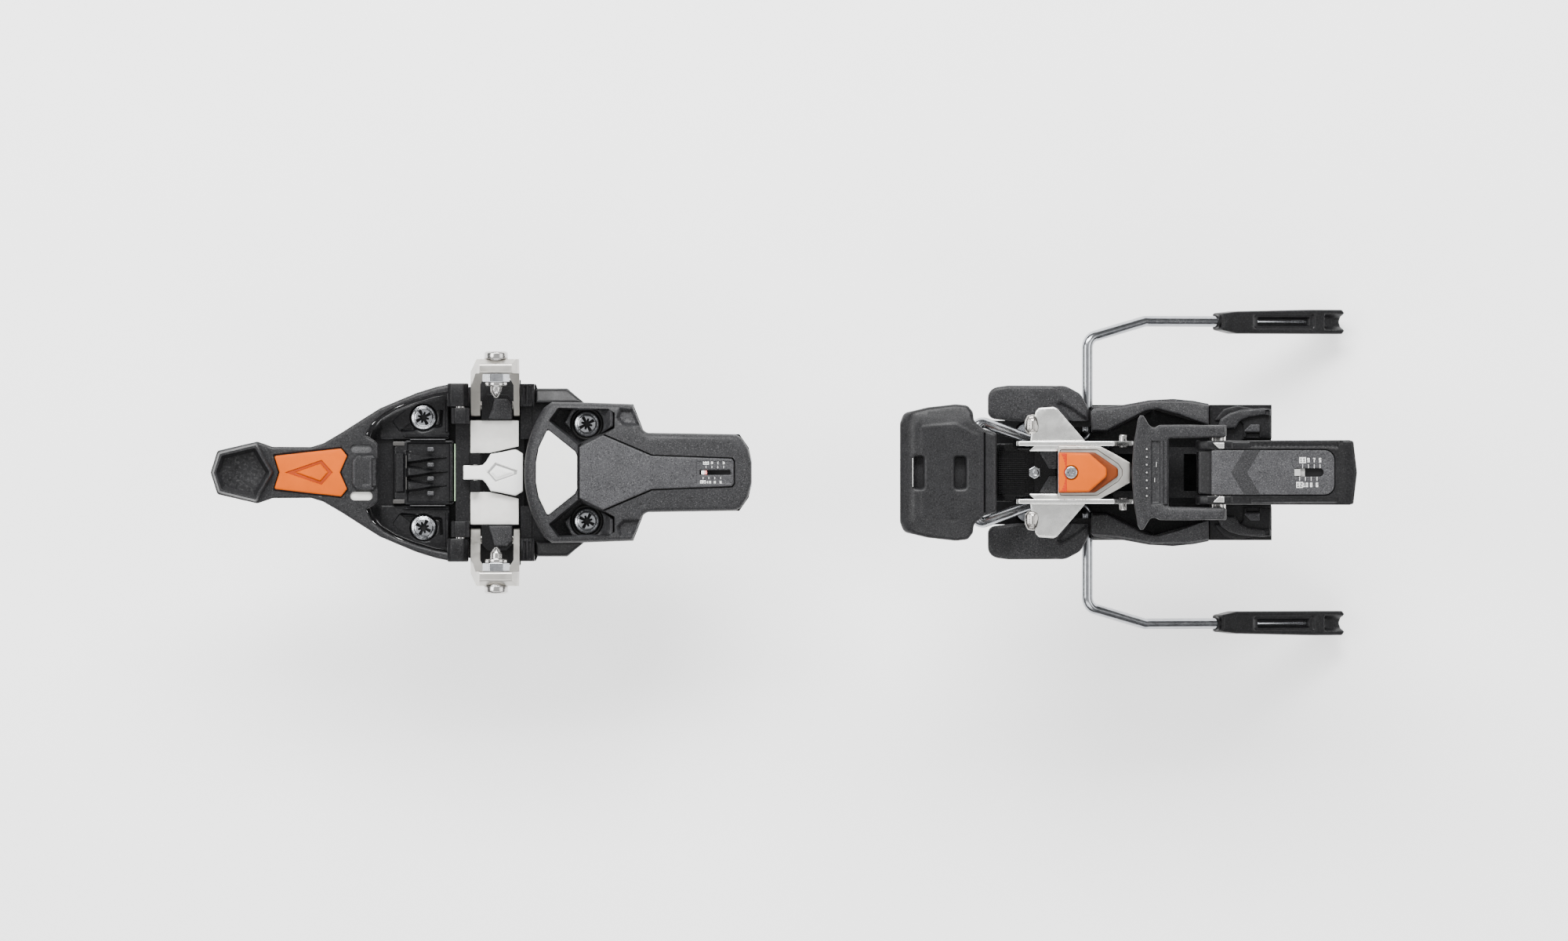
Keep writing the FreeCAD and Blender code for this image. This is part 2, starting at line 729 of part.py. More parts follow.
def make_yoke(label, side):
    """A forged yoke: two leaning legs and a bridge that carries the pin."""
    body = new_body(label)
    profile = [
        (22.6, 13.6), (21.9, 8.4), (25.0, 5.9), (29.5, 6.3), (31.6, 10.4), (45.2, 32.0), (45.2, 38.6), (43.0, 41.6),
        (39.4, 41.6), (39.4, 30.6),
    ]
    profile = [(side * y, z) for y, z in profile]
    pad(body, "YZ", [loop(profile, 1.2)], -10.3, 9.2)
    window = [(-6.5, 0), (-6.5, 26), (-3.8, 30.6), (4.2, 30.6), (6.8, 26), (6.8, 0)]
    low, high = (20.0, 46.0) if side > 0 else (-46.0, -20.0)
    pocket(body, "XZ", [loop(window)], low, high)
    front = [(-10.4, 24.0), (-6.6, 36.0), (-6.6, 42.0), (-10.4, 42.0)]
    rear = [(9.3, 36.0), (8.6, 38.0), (6.0, 42.0), (9.3, 42.0)]
    pocket(body, "XZ", [loop(front), loop(rear)], low, high)
    bolt = [circle(0.0, "pin_height", "bolt_radius")]
    pocket(body, "XZ", bolt, low, high)
    holes = [circle(side * size("yoke_pivot_y"), "yoke_pivot_z", 2.06)]
    pocket(body, "YZ", holes, -10.5, 9.5)
    return body


def make_toe_pin(label, side):
    """Pin, collar, bolt shank and riveted stub, turned as one steel piece."""
    body = new_body(label)
    outline = [
        (29.7, 0.0), (29.9, 0.9), (31.9, 2.3), (34.5, 2.45), (34.5, 4.3), (36.0, 4.3), (36.0, 3.4), (45.2, 3.4),
        (45.2, 4.7), (47.6, 4.7), (48.3, 4.0), (48.3, 0.0),
    ]
    shape = loop([(side * y, z) for y, z in outline])
    revolve(body, "YZ", [shape], "H_Axis")
    body.Placement = FreeCAD.Placement(vec(0, 0, size("pin_height")), FreeCAD.Rotation())
    return body


def make_pin_nut(label, side):
    body = new_body(label)
    half = size("nut_across") / 2
    corner = half / math.cos(math.radians(30))
    z = size("pin_height")
    points = []
    for i in range(6):
        turn = math.radians(60 * i)
        points.append((corner * math.cos(turn), z + corner * math.sin(turn)))
    low, high = ("pin_collar_y", "nut_outer_y") if side > 0 else ("-nut_outer_y", "-pin_collar_y")
    pad(body, "XZ", [loop(points)], low, high)
    pocket(body, "XZ", [circle(0.0, "pin_height", "bolt_radius")], low, high)
    return body


# ---------------------------------------------------------------- toe housing and release works

HOUSING_SIDE = [(22.0, 28.3), (34.7, 28.0), (54.5, 27.3), (55.3, 24.5), (59, 15.9), (96.9, 15.3), (100.6, 9.5)]


def housing_outline(inset=0.0):
    side = [(x, y - inset) for x, y in HOUSING_SIDE]
    rest = side + flip(side)[::-1]
    front = 18.9
    return arc_loop((front, -25.8 + inset), (11.1 + inset, 0.0), (front, 25.8 - inset), rest)


def make_toe_housing():
    body = new_body("toe_housing")
    pad(body, "XY", [housing_outline()], "rear_base_top", "housing_step")
    top = pad(body, "XY", [housing_outline(2.2)], "housing_step", "housing_top")
    # wells that open round the rear screws, with a bevelled edge on the inner side
    well = [(21.0, 20.8), (24.6, 26.3), (46.0, 25.9), (46.0, 20.5), (42.5, 15.0), (32.9, 10.6)]
    pocket(body, "XY", both(well), "rear_head_seat", "housing_step")
    cut = [(21.0, 20.8), (26.0, 29.0), (46.0, 29.0), (46.0, 20.5), (42.5, 15.0), (32.9, 10.6)]
    pocket(body, "XY", both(cut), "housing_step", "housing_top")
    spots = [("rear_screw_x", "rear_screw_y"), ("rear_screw_x", "-rear_screw_y")]
    pocket(body, "XY", [circle(x, y, "screw_hole_radius") for x, y in spots], "rear_base_top", 15.0)
    pocket(body, "XY", [rect(11.0, 44.0, -9.2, 9.2)], "rear_base_top", 19.6)
    pocket(body, "XY", [rect(10.0, 16.2, -13.4, 13.4)], "rear_base_top", 13.6)
    pocket(body, "XY", [rect(9.0, 14.05, -31.0, 31.0)], "rear_base_top", 13.05)
    pocket(body, "YZ", [circle(0.0, "works_height", "works_radius")], "works_front", "works_back")
    pocket(body, "YZ", [circle(0.0, "works_height", 3.05)], 96.5, 99.5)
    pocket(body, "YZ", [circle(0.0, "works_height", 6.3)], 99.0, 103.0)
    slot_box = [rect("scale_slot_start", "scale_slot_end", "-scale_slot_half", "scale_slot_half")]
    pocket(body, "XY", slot_box, 15.0, "housing_top")
    plate = mirrored([(15.6, 0), (16.6, 10.0), (20.4, 17.6), (31.7, 8.6), (32.6, 6.8)])
    pocket(body, "XY", [loop(plate)], 27.0, "housing_top")
    slope = [(60.0, 28.1), (103.0, 28.1), (103.0, 22.5)]
    pocket(body, "XZ", [loop(slope)], -30.0, 30.0)
    return body


def make_housing_panel():
    body = new_body("housing_panel")
    outline = [(33.4, -10.0), (42.5, -15.0), (60.0, -7.6), (60.0, 7.6), (42.5, 15.0), (33.4, 10.0)]
    low = size("housing_top")
    pad(body, "XY", [loop(outline)], low, low + size("panel_thick"))
    return body


def make_name_plate():
    body = new_body("blank_plate")
    outline = mirrored([(15.8, 0), (16.8, 9.9), (20.4, 17.3), (31.5, 8.4), (32.3, 6.7)])
    pad(body, "XY", [loop(outline, 0.5)], 27.0, 28.5)
    return body


def make_rocker():
    body = new_body("release_rocker")
    pad(body, "XY", [circle("rocker_x", 0.0, "rocker_hub")], "rocker_low", "rocker_top")
    finger = [(12.0, -1.8), (30.0, -3.0), (30.0, 3.0), (12.0, 1.8)]
    pad(body, "XY", [loop(finger, [1.7, 0, 0, 1.7])], "rocker_low", 12.2)
    pocket(body, "XY", [circle("rocker_x", 0.0, 2.56)], "rocker_low", "rocker_top")
    return body


def make_rocker_pin():
    body = new_body("rocker_pin")
    pad(body, "XY", [circle("rocker_x", 0.0, "rocker_pin")], 7.2, 19.6)
    return body


def make_plunger():
    body = new_body("release_plunger")
    outline = [(38.3, 0.0), (38.6, 2.0), (40.2, 4.0), (42.3, 4.2), (42.3, 7.9), (49.5, 7.9), (49.5, 0.0)]
    revolve(body, "XZ", [loop(outline)], "H_Axis")
    body.Placement = FreeCAD.Placement(vec(0, 0, size("works_height")), FreeCAD.Rotation())
    return body


def make_toe_spring():
    coil = helix_spring(5.9, 1.25, 4.6, 5.6, vec(51.0, 0, size("works_height")), vec(1, 0, 0))
    return shaped("toe_spring", coil)


def make_toe_adjuster():
    body = new_body("toe_adjuster")
    pad(body, "YZ", [circle(0.0, "works_height", 3.0)], 78.5, 99.0)
    pad(body, "YZ", [circle(0.0, "works_height", 6.1)], 99.05, 101.9)
    z = size("works_height")
    pocket(body, "YZ", [rect(-3.6, 3.6, z - 0.7, z + 0.7)], 100.4, 101.9)
    pocket(body, "YZ", [rect(-0.7, 0.7, z - 3.6, z + 3.6)], 100.4, 101.9)
    return body


def make_toe_indicator():
    body = new_body("toe_indicator")
    pad(body, "YZ", [circle(0.0, "works_height", 7.9)], 79.5, 85.5)
    pocket(body, "YZ", [circle(0.0, "works_height", 3.06)], 79.5, 85.5)
    pad(body, "XY", [rect(81.7, 83.4, -0.6, 0.6)], 22.0, 25.6)
    return body


# ---------------------------------------------------------------- heel base and carriage

def make_heel_base():
    body = new_body("heel_base")
    pad(body, "XY", [rect("heel_base_front", "heel_base_back", "-heel_foot_half", "heel_foot_half")],
        0.0, "heel_flange_low")
    pad(body, "XY", [rect(194.5, "heel_base_front", -17.0, 17.0)], 0.0, "heel_base_top")
    top = pad(body, "XY", [rect("heel_base_front", "heel_base_back", "-heel_base_half", "heel_base_half")],
              "heel_flange_low", "heel_base_top")
    chamfer(body, top, lambda e: abs(e.BoundBox.XMin - e.BoundBox.XMax) < 1e-3
            and e.BoundBox.ZMin > 5.9 and e.Length > 30, 0.8)
    pocket(body, "XY", [rect(226.0, 297.0, -4.2, 4.2)], 1.2, "heel_base_top")
    pocket(body, "YZ", [circle(0.0, "length_screw_z", 2.06)], 219.0, 303.0)
    pocket(body, "XY", [rect(302.0, 309.5, -4.2, 4.2)], 1.2, "heel_base_top")
    spots = []
    for x in ("heel_screw_front", "heel_screw_back"):
        for y in ("heel_screw_y", "-heel_screw_y"):
            spots.append((x, y))
    pocket(body, "XY", [circle(x, y, "screw_hole_radius") for x, y in spots], 0.0, "heel_base_top")
    pocket(body, "XY", [circle(x, y, 5.5) for x, y in spots], "heel_head_seat", "heel_base_top")
    return body


def make_length_screw():
    body = new_body("length_screw")
    pad(body, "YZ", [circle(0.0, "length_screw_z", "length_screw_radius")], 220.0, 304.0)
    pad(body, "YZ", [circle(0.0, 3.6, 2.3)], 302.2, 308.6)
    pocket(body, "YZ", [rect(-1.6, 1.6, 3.25, 3.95)], 307.2, 308.6)
    return body


def make_heel_block():
    """Carriage that wraps the base, and the tower that carries jaw, riser and lever."""
    body = new_body("heel_block")
    pad(body, "XY", [rect("block_front", "block_back", "-block_half", "block_half")], 6.3, "deck_top")
    sides = [rect("block_front", "block_back", 24.3, "block_half"),
             rect("block_front", "block_back", "-block_half", -24.3)]
    pad(body, "XY", sides, 0.8, 6.3)
    lips = [rect("block_front", "block_back", 21.3, "block_half"),
            rect("block_front", "block_back", "-block_half", -21.3)]
    pad(body, "XY", lips, 0.8, 2.7)
    walls = [rect(228.0, 296.0, 7.4, 10.0), rect(228.0, 296.0, -10.0, -7.4)]
    pad(body, "XY", walls, "deck_top", "tower_top")
    pad(body, "XY", [rect(258.0, 274.0, -10.0, 10.0)], "deck_top", "tower_top")
    jaw_ears = [(243.0, 36.5), (246.0, 43.6), (253.4, 43.6), (256.5, 36.5)]
    pad(body, "XZ", [loop(jaw_ears)], 7.4, 10.0)
    pad(body, "XZ", [loop(jaw_ears)], -10.0, -7.4)
    rear_ears = [(279.0, 36.5), (282.0, 48.0), (284.5, 53.6), (290.5, 53.6), (293.0, 48.0), (294.5, 36.5)]
    pad(body, "XZ", [loop(rear_ears, 0.8)], 5.8, 8.5)
    pad(body, "XZ", [loop(rear_ears, 0.8)], -8.5, -5.8)
    pad(body, "XY", [rect(279.0, 294.5, -8.5, 8.5)], 33.0, "tower_top")
    # bearings of the brake
    blocks = [rect(229.5, 241.5, 18.2, 25.0), rect(229.5, 241.5, -25.0, -18.2)]
    pad(body, "XY", blocks, "deck_top", 19.6)
    pad(body, "XY", [rect(284.5, "block_back", "-block_half", "block_half")], "deck_top", 24.0)
    pocket(body, "XY", [rect(297.5, 310.0, -13.5, 13.5)], 14.0, 24.0)
    pad(body, "XY", [rect(262.0, 272.0, -3.7, 3.7)], 1.5, 6.4)
    pocket(body, "YZ", [circle(0.0, "length_screw_z", 2.07)], 261.0, 273.0)
    pocket(body, "XZ", [circle("brake_x", "brake_z", 2.26)], -26.0, 26.0)
    pocket(body, "XZ", [circle("jaw_pivot_x", "jaw_pivot_z", "jaw_pin_radius")], -11.0, 11.0)
    pocket(body, "XZ", [circle("rear_axle_x", "rear_axle_z", "rear_axle_radius")], -9.0, 9.0)
    return body


def make_heel_fins():
    """Side fairings of the heel tower, bowed outwards."""
    body = new_body("heel_fins", several=True)
    outer = [(237.0, 16.4), (236.6, 25.6), (250.0, 27.1), (265.0, 29.2), (276.0, 28.9), (284.3, 27.2), (284.3, 18.6),
             (262.3, 25.2), (243.4, 16.4)]
    pad(body, "XY", both(outer), 19.7, 27.0)
    ribs = [(262.3, 25.2), (265.0, 29.2), (276.0, 28.9), (284.3, 27.2), (284.3, 18.6)]
    pad(body, "XY", both(ribs), 9.0, 19.7)
    return body


def make_heel_wings():
    body = new_body("heel_wings", several=True)
    outline = [(196.0, 20.3), (196.0, 34.7), (232.0, 34.7), (236.3, 25.2), (236.3, 20.3)]
    radii = [3.5, 4.5, 6.0, 2.0, 2.0]
    top = pad(body, "XY", [loop(outline, radii), loop(flip(outline), radii)], 19.7, 25.5)
    chamfer(body, top, level_edges(25.5, 0.5), 1.0)
    return body


def make_front_plate():
    body = new_body("front_plate")
    outline = mirrored([(195.5, 0), (195.5, 11.6), (206.0, 11.6), (207.6, 9.6), (227.9, 9.6)])
    pad(body, "XY", [loop(outline)], 26.5, 30.0)
    pad(body, "XY", [rect(224.0, 227.9, -9.6, 9.6)], 9.1, 26.5)
    facets = [(216.8, 6.6), (222.6, 6.9), (222.6, 0.7), (221.0, 0.7)]
    pad(body, "XY", both(facets), 30.0, 31.6)
    return body


def make_front_stud():
    body = new_body("front_stud")
    points = []
    for i in range(6):
        turn = math.radians(60 * i + 30)
        points.append((214.6 + 2.6 * math.cos(turn), 2.6 * math.sin(turn)))
    pad(body, "XY", [loop(points)], 30.0, 32.4)
    pad(body, "XY", [circle(215.0, 0.0, 1.1)], 32.4, 34.0)
    return body


def make_jaw_pins():
    """A short pin on each side, from the tower's wall through the jaw's bar."""
    body = new_body("jaw_axle", several=True)
    pin = [circle("jaw_pivot_x", "jaw_pivot_z", "jaw_pin_radius")]
    pad(body, "XZ", pin, 7.4, 15.0)
    pad(body, "XZ", pin, -15.0, -7.4)
    return body


def make_rear_axle():
    body = new_body("rear_axle")
    pad(body, "XZ", [circle("rear_axle_x", "rear_axle_z", "rear_axle_radius")], -18.6, 18.6)
    return body


# ---------------------------------------------------------------- heel jaw

def make_jaw():
    body = new_body("heel_jaw")
    side = [(207.0, 44.0), (207.0, 50.0), (246.0, 50.0), (254.0, 45.0), (254.0, 38.0), (250.5, 35.0), (214.0, 36.5)]
    pad(body, "XZ", [loop(side, 0.8)], "bar_inner", "bar_outer")
    pad(body, "XZ", [loop(side, 0.8)], "-bar_outer", "-bar_inner")
    neck = mirrored([(223.75, 0), (223.75, 10.8), (240.5, 10.8), (251.5, 4.0)])
    pad(body, "XY", [loop(neck)], "jaw_plate_low", "bar_top")
    cheek = [(212.9, 12.3), (214.8, 24.9), (221.9, 26.0), (224.2, 24.6), (234.6, 12.3)]
    pad(body, "XY", both(cheek), "cheek_low", "cheek_top")
    caps = [(212.0, 8.4), (223.75, 8.4), (223.75, 12.3), (213.6, 12.3)]
    pad(body, "XY", both(caps), "jaw_plate_low", "bar_top")
    pocket(body, "XZ", [circle("jaw_pivot_x", "jaw_pivot_z", 1.66)], -13.0, 13.0)
    return body


def make_jaw_lugs():
    """The two steel lugs that enter the boot's heel."""
    body = new_body("jaw_lugs", several=True)
    outline = [(210.3, 16.2), (212.2, 14.8), (216.6, 15.6), (217.1, 21.6), (214.6, 23.3), (211.2, 21.4)]
    pad(body, "XY", [loop(outline, 0.9), loop(flip(outline), 0.9)], 36.5, "cheek_low")
    return body


def make_jaw_insert():
    body = new_body("jaw_insert")
    top = mirrored([(223.9, 0), (223.9, 7.7), (236.6, 7.7), (243.2, 3.6)])
    pad(body, "XY", [loop(mirrored([(223.9, 0), (223.9, 8.2), (238.6, 8.2), (246.8, 3.0)]))], 50.0, 52.0)
    pad(body, "XY", [loop(top)], 52.0, "insert_top")
    pocket(body, "XY", [circle(228.9, 0.0, 2.9)], 52.6, "insert_top")
    return body


def make_jaw_screw():
    body = new_body("jaw_screw")
    pad(body, "XY", [circle(228.9, 0.0, 2.6)], 52.6, 54.6)
    pocket(body, "XY", [rect(227.4, 230.4, -0.4, 0.4)], 53.6, 54.6)
    pocket(body, "XY", [rect(228.5, 229.3, -1.5, 1.5)], 53.6, 54.6)
    return body


# ---------------------------------------------------------------- heel lever and riser

def make_heel_lever():
    body = new_body("heel_lever")
    side = [(278.2, 46.5), (279.5, 56.0), (283.0, 58.0), (300.0, 58.0), (338.0, 56.0), (342.7, 52.0), (342.2, 46.0),
            (336.0, 42.5), (296.5, 42.0), (286.0, 43.5), (280.0, 44.5)]
    pad(body, "XZ", [loop(side, 1.0)], -12.9, 12.9)
    pocket(body, "XY", [rect(270.0, 297.5, "-heel_rail_inner", "heel_rail_inner")], 40.0, 60.0)
    # tongue that bridges the two arms above the axle's ears
    pad(body, "XY", [rect(280.0, 298.5, -9.3, 9.3)], 54.6, 57.4)
    pocket(body, "YZ", [circle(0.0, "rear_axle_z", "spring_bore_radius")], 298.5, 335.0)
    pocket(body, "YZ", [circle(0.0, "rear_axle_z", 2.06)], 334.0, 339.0)
    pocket(body, "YZ", [circle(0.0, "rear_axle_z", 4.3)], 338.4, 344.0)
    pocket(body, "XY", [rect(317.3, 329.3, -1.65, 1.65)], 52.0, 59.0)
    corners = [(339.2, 13.1), (343.0, 10.2), (343.5, 13.1)]
    pocket(body, "XY", both(corners), 40.0, 60.0)
    pocket(body, "XZ", [circle("rear_axle_x", "rear_axle_z", 3.06)], -13.5, 13.5)
    return body


def make_lever_panel():
    body = new_body("lever_panel")
    side = [(296.8, 58.05), (300.0, 58.05), (334.0, 56.27), (334.0, 57.5), (300.0, 59.3), (296.8, 59.3)]
    pad(body, "XZ", [loop(side)], -9.0, 9.0)
    pocket(body, "XY", [rect(317.3, 329.3, -1.65, 1.65)], 55.0, 60.0)
    return body


def make_heel_spring():
    coil = helix_spring(4.3, 0.95, 3.0, 4.2, vec(300.0, 0, size("rear_axle_z")), vec(1, 0, 0))
    return shaped("heel_spring", coil)


def make_heel_adjuster():
    body = new_body("heel_adjuster")
    z = size("rear_axle_z")
    pad(body, "YZ", [circle(0.0, "rear_axle_z", 2.0)], 315.6, 338.4)
    pad(body, "YZ", [circle(0.0, "rear_axle_z", 4.1)], 338.5, 341.2)
    pocket(body, "YZ", [rect(-2.6, 2.6, z - 0.5, z + 0.5)], 340.0, 341.2)
    pocket(body, "YZ", [rect(-0.5, 0.5, z - 2.6, z + 2.6)], 340.0, 341.2)
    return body


def make_heel_indicator():
    body = new_body("heel_indicator")
    pad(body, "YZ", [circle(0.0, "rear_axle_z", 6.0)], 315.8, 321.8)
    pocket(body, "YZ", [circle(0.0, "rear_axle_z", 2.06)], 315.8, 321.8)
    pad(body, "XY", [rect(317.6, 320.0, -1.3, 1.3)], 55.0, 57.6)
    return body


def make_riser():
    """The climbing aid: a flange across, held by two arms to the rear axle."""
    body = new_body("climbing_riser")
    flange = [(253.0, 0.0), (253.6, 12.0), (255.6, 22.8), (260.8, 22.8), (260.8, 19.0), (289.8, 19.0), (291.8, 17.0),
              (291.8, 14.2), (267.6, 14.2), (267.6, 0.0)]
    top = pad(body, "XY", [loop(mirrored(flange))], "riser_low", "riser_top")
    eye = [(281.5, 53.5), (283.5, 47.0), (287.5, 45.4), (291.5, 47.0), (292.5, 53.5)]
    pad(body, "XZ", [loop(eye, 0.6)], "riser_arm_inner", "riser_arm_outer")
    pad(body, "XZ", [loop(eye, 0.6)], "-riser_arm_outer", "-riser_arm_inner")
    step = [rect(262.0, 264.6, -13.0, 13.0)]
    pocket(body, "XY", step, 57.0, "riser_top")
    pocket(body, "XZ", [circle("rear_axle_x", "rear_axle_z", 3.06)], -20.0, 20.0)
    return body


# ---------------------------------------------------------------- brake

def lowered(x, y):
    """A point of the brake arms, which hang down behind the pivot."""
    drop = math.tan(math.radians(size("brake_drop")))
    return (x, y, size("brake_z") - (x - size("brake_x")) * drop)


def raised(x, y):
    """A point of the brake's front legs, between the pivot and the pad's bar."""
    share = (size("brake_x") - x) / (size("brake_x") - size("pad_bar_x"))
    return (x, y, size("brake_z") + share * (size("pad_bar_z") - size("brake_z")))


def make_brake_wire():
    pivot_x = size("brake_x")
    pivot_z = size("brake_z")
    bar_x = size("pad_bar_x")
    bar_z = size("pad_bar_z")
    half = [
        raised(bar_x, 21.1), raised(211.6, 13.6), (pivot_x, 13.0, pivot_z), (pivot_x, 53.6, pivot_z),
        lowered(259.0, size("brake_arm_y")), lowered(298.5, size("brake_arm_y")),
    ]
    other = [(x, -y, z) for x, y, z in half]
    points = other[::-1] + half
    radii = [4.0, 5.0, 4.0, 9.0, 4.0, 4.0, 9.0, 4.0, 5.0, 4.0]
    path = wire_path(points, radii)
    start = vec(*points[0])
    toward = vec(*points[1]).sub(start)
    ring = Part.Wire([Part.makeCircle(size("brake_wire_radius"), start, toward)])
    return shaped("brake_wire", path.makePipeShell([ring], True, True))


def make_brake_tip(label, side):
    body = new_body(label)
    y = size("brake_arm_y")
    outline = [(64.5, y - 3.2), (72.0, y - 5.0), (125.3, y - 5.0), (121.5, y), (125.3, y + 5.0), (72.0, y + 5.0),
               (64.5, y + 3.2)]
    outline = [(x, side * v) for x, v in outline]
    pad(body, "XY", [loop(outline, 0.8)], -3.5, 3.5)
    hole = slot(80.5, 109.3, side * y, 2.5)
    pocket(body, "XY", [hole], -3.5, 3.5)
    pocket(body, "YZ", [circle(side * y, 0.0, 2.2)], 60.0, 76.6)
    turn = FreeCAD.Rotation(vec(0, 1, 0), size("brake_drop"))
    body.Placement = FreeCAD.Placement(vec(size("brake_x"), 0, size("brake_z")), turn)
    return body


def make_brake_pad():
    body = new_body("brake_pad")
    outline = mirrored([(160.8, 0), (160.8, 20.5), (162.6, 23.2), (183.0, 27.3), (187.0, 27.1), (189.8, 24.2),
                        (194.2, 18.6), (199.4, 16.6)])
    top = pad(body, "XY", [loop(outline)], "pad_low", "pad_top")
    chamfer(body, top, level_edges(size("pad_top"), 0.5), 1.2)
    slots = [rect(166.8, 170.1, -6.2, 6.2), rect(183.0, 187.0, -6.2, 6.2)]
    pocket(body, "XY", slots, "pad_low", 51.5)
    pocket(body, "XZ", [circle("pad_bar_x", "pad_bar_z", 2.26)], -16.0, 16.0)
    # room under the skin for the two bends of the wire
    bends = [rect(187.6, 200.0, 14.4, 25.0), rect(187.6, 200.0, -25.0, -14.4)]
    pocket(body, "XY", bends, "pad_low", 49.4)
    return body


def make_brake_spring():
    coil = helix_spring(3.6, 0.7, 1.7, 6.0, vec(size("brake_x"), -5.1, size("brake_z") + 6.0), vec(0, 1, 0))
    return shaped("brake_spring", coil)


# ---------------------------------------------------------------- build all

parts = [
    make_toe_base(),
    make_screws("toe_screws_front", "-front_screw_x", "front_screw_y", "front_head_seat"),
    make_screws("toe_screws_rear", "rear_screw_x", "rear_screw_y", "rear_head_seat"),
    make_seat_rings(),
    make_front_block(),
    make_block_pads(),
    make_guide_tabs(),
    make_seal_strip(),
    make_toe_lever(),
    make_lever_insert(),
    make_lever_pins(),
    make_toe_carriage(),
    make_slide_plates(),
    make_yoke_pins(),
    make_pedal(),
    make_pedal_pin(),
    make_yoke("yoke_left", 1),
    make_yoke("yoke_right", -1),
    make_toe_pin("toe_pin_left", 1),
    make_toe_pin("toe_pin_right", -1),
    make_pin_nut("pin_nut_left", 1),
    make_pin_nut("pin_nut_right", -1),
    make_toe_housing(),
    make_housing_panel(),
    make_name_plate(),
    make_rocker(),
    make_rocker_pin(),
    make_plunger(),
    make_toe_spring(),
    make_toe_adjuster(),
    make_toe_indicator(),
    make_heel_base(),
    make_screws("heel_screws_front", "heel_screw_front", "heel_screw_y", "heel_head_seat"),
    make_screws("heel_screws_rear", "heel_screw_back", "heel_screw_y", "heel_head_seat"),
    make_length_screw(),
    make_heel_block(),
    make_heel_fins(),
    make_heel_wings(),
    make_front_plate(),
    make_front_stud(),
    make_jaw_pins(),
    make_rear_axle(),
    make_jaw(),
    make_jaw_lugs(),
    make_jaw_insert(),
    make_jaw_screw(),
    make_heel_lever(),
    make_lever_panel(),
    make_heel_spring(),
    make_heel_adjuster(),
    make_heel_indicator(),
    make_riser(),
    make_brake_wire(),
    make_brake_tip("brake_tip_left", 1),
    make_brake_tip("brake_tip_right", -1),
    make_brake_pad(),
    make_brake_spring(),
]

doc.recompute()

faults = []
for item in doc.Objects:
    if "Invalid" in item.State or "Error" in item.State:
        faults.append("%s: %s" % (item.Label, item.State))
    if item.TypeId == "PartDesign::Pocket" and item.BaseFeature and not item.Shape.isNull():
        if item.Shape.Volume > item.BaseFeature.Shape.Volume - 0.01:
            faults.append("%s cuts nothing" % item.Label)
for item in parts:
    if item.Shape.isNull() or not item.Shape.isValid():
        faults.append("%s: empty or not valid" % item.Label)
if faults:
    raise RuntimeError("; ".join(faults))

for item in parts:
    item.Shape.exportStep(os.path.join("parts", item.Label + ".step"))
print("wrote %d parts" % len(parts))
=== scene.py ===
import math
import bmesh
import bpy
import numpy as np
from mathutils import Matrix, Vector
from mathutils.geometry import delaunay_2d_cdt


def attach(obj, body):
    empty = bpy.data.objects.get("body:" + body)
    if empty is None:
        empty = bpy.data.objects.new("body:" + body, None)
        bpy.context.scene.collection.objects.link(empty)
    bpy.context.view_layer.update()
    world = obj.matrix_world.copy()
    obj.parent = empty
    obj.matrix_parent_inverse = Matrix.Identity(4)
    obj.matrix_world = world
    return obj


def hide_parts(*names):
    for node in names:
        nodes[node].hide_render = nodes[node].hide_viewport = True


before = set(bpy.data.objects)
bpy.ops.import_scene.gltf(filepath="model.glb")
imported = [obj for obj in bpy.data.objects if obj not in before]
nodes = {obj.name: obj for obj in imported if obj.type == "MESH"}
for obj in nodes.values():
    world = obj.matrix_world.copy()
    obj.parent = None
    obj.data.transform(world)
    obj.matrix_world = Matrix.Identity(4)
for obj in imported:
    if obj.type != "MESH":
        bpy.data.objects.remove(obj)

MM = 0.001
SIDES = ((1, "left"), (-1, "right"))
FRONT_SCREW = (-29.3, 22.0)
REAR_SCREW = (36.0, 19.35)
JAW_SCREW_X = 228.9
BRAKE_X, BRAKE_Z = 235.8, 12.0
BRAKE_DROP = math.radians(35)
BRAKE_TIP_Y = 60.5
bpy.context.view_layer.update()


# ---------------------------------------------------------------- materials

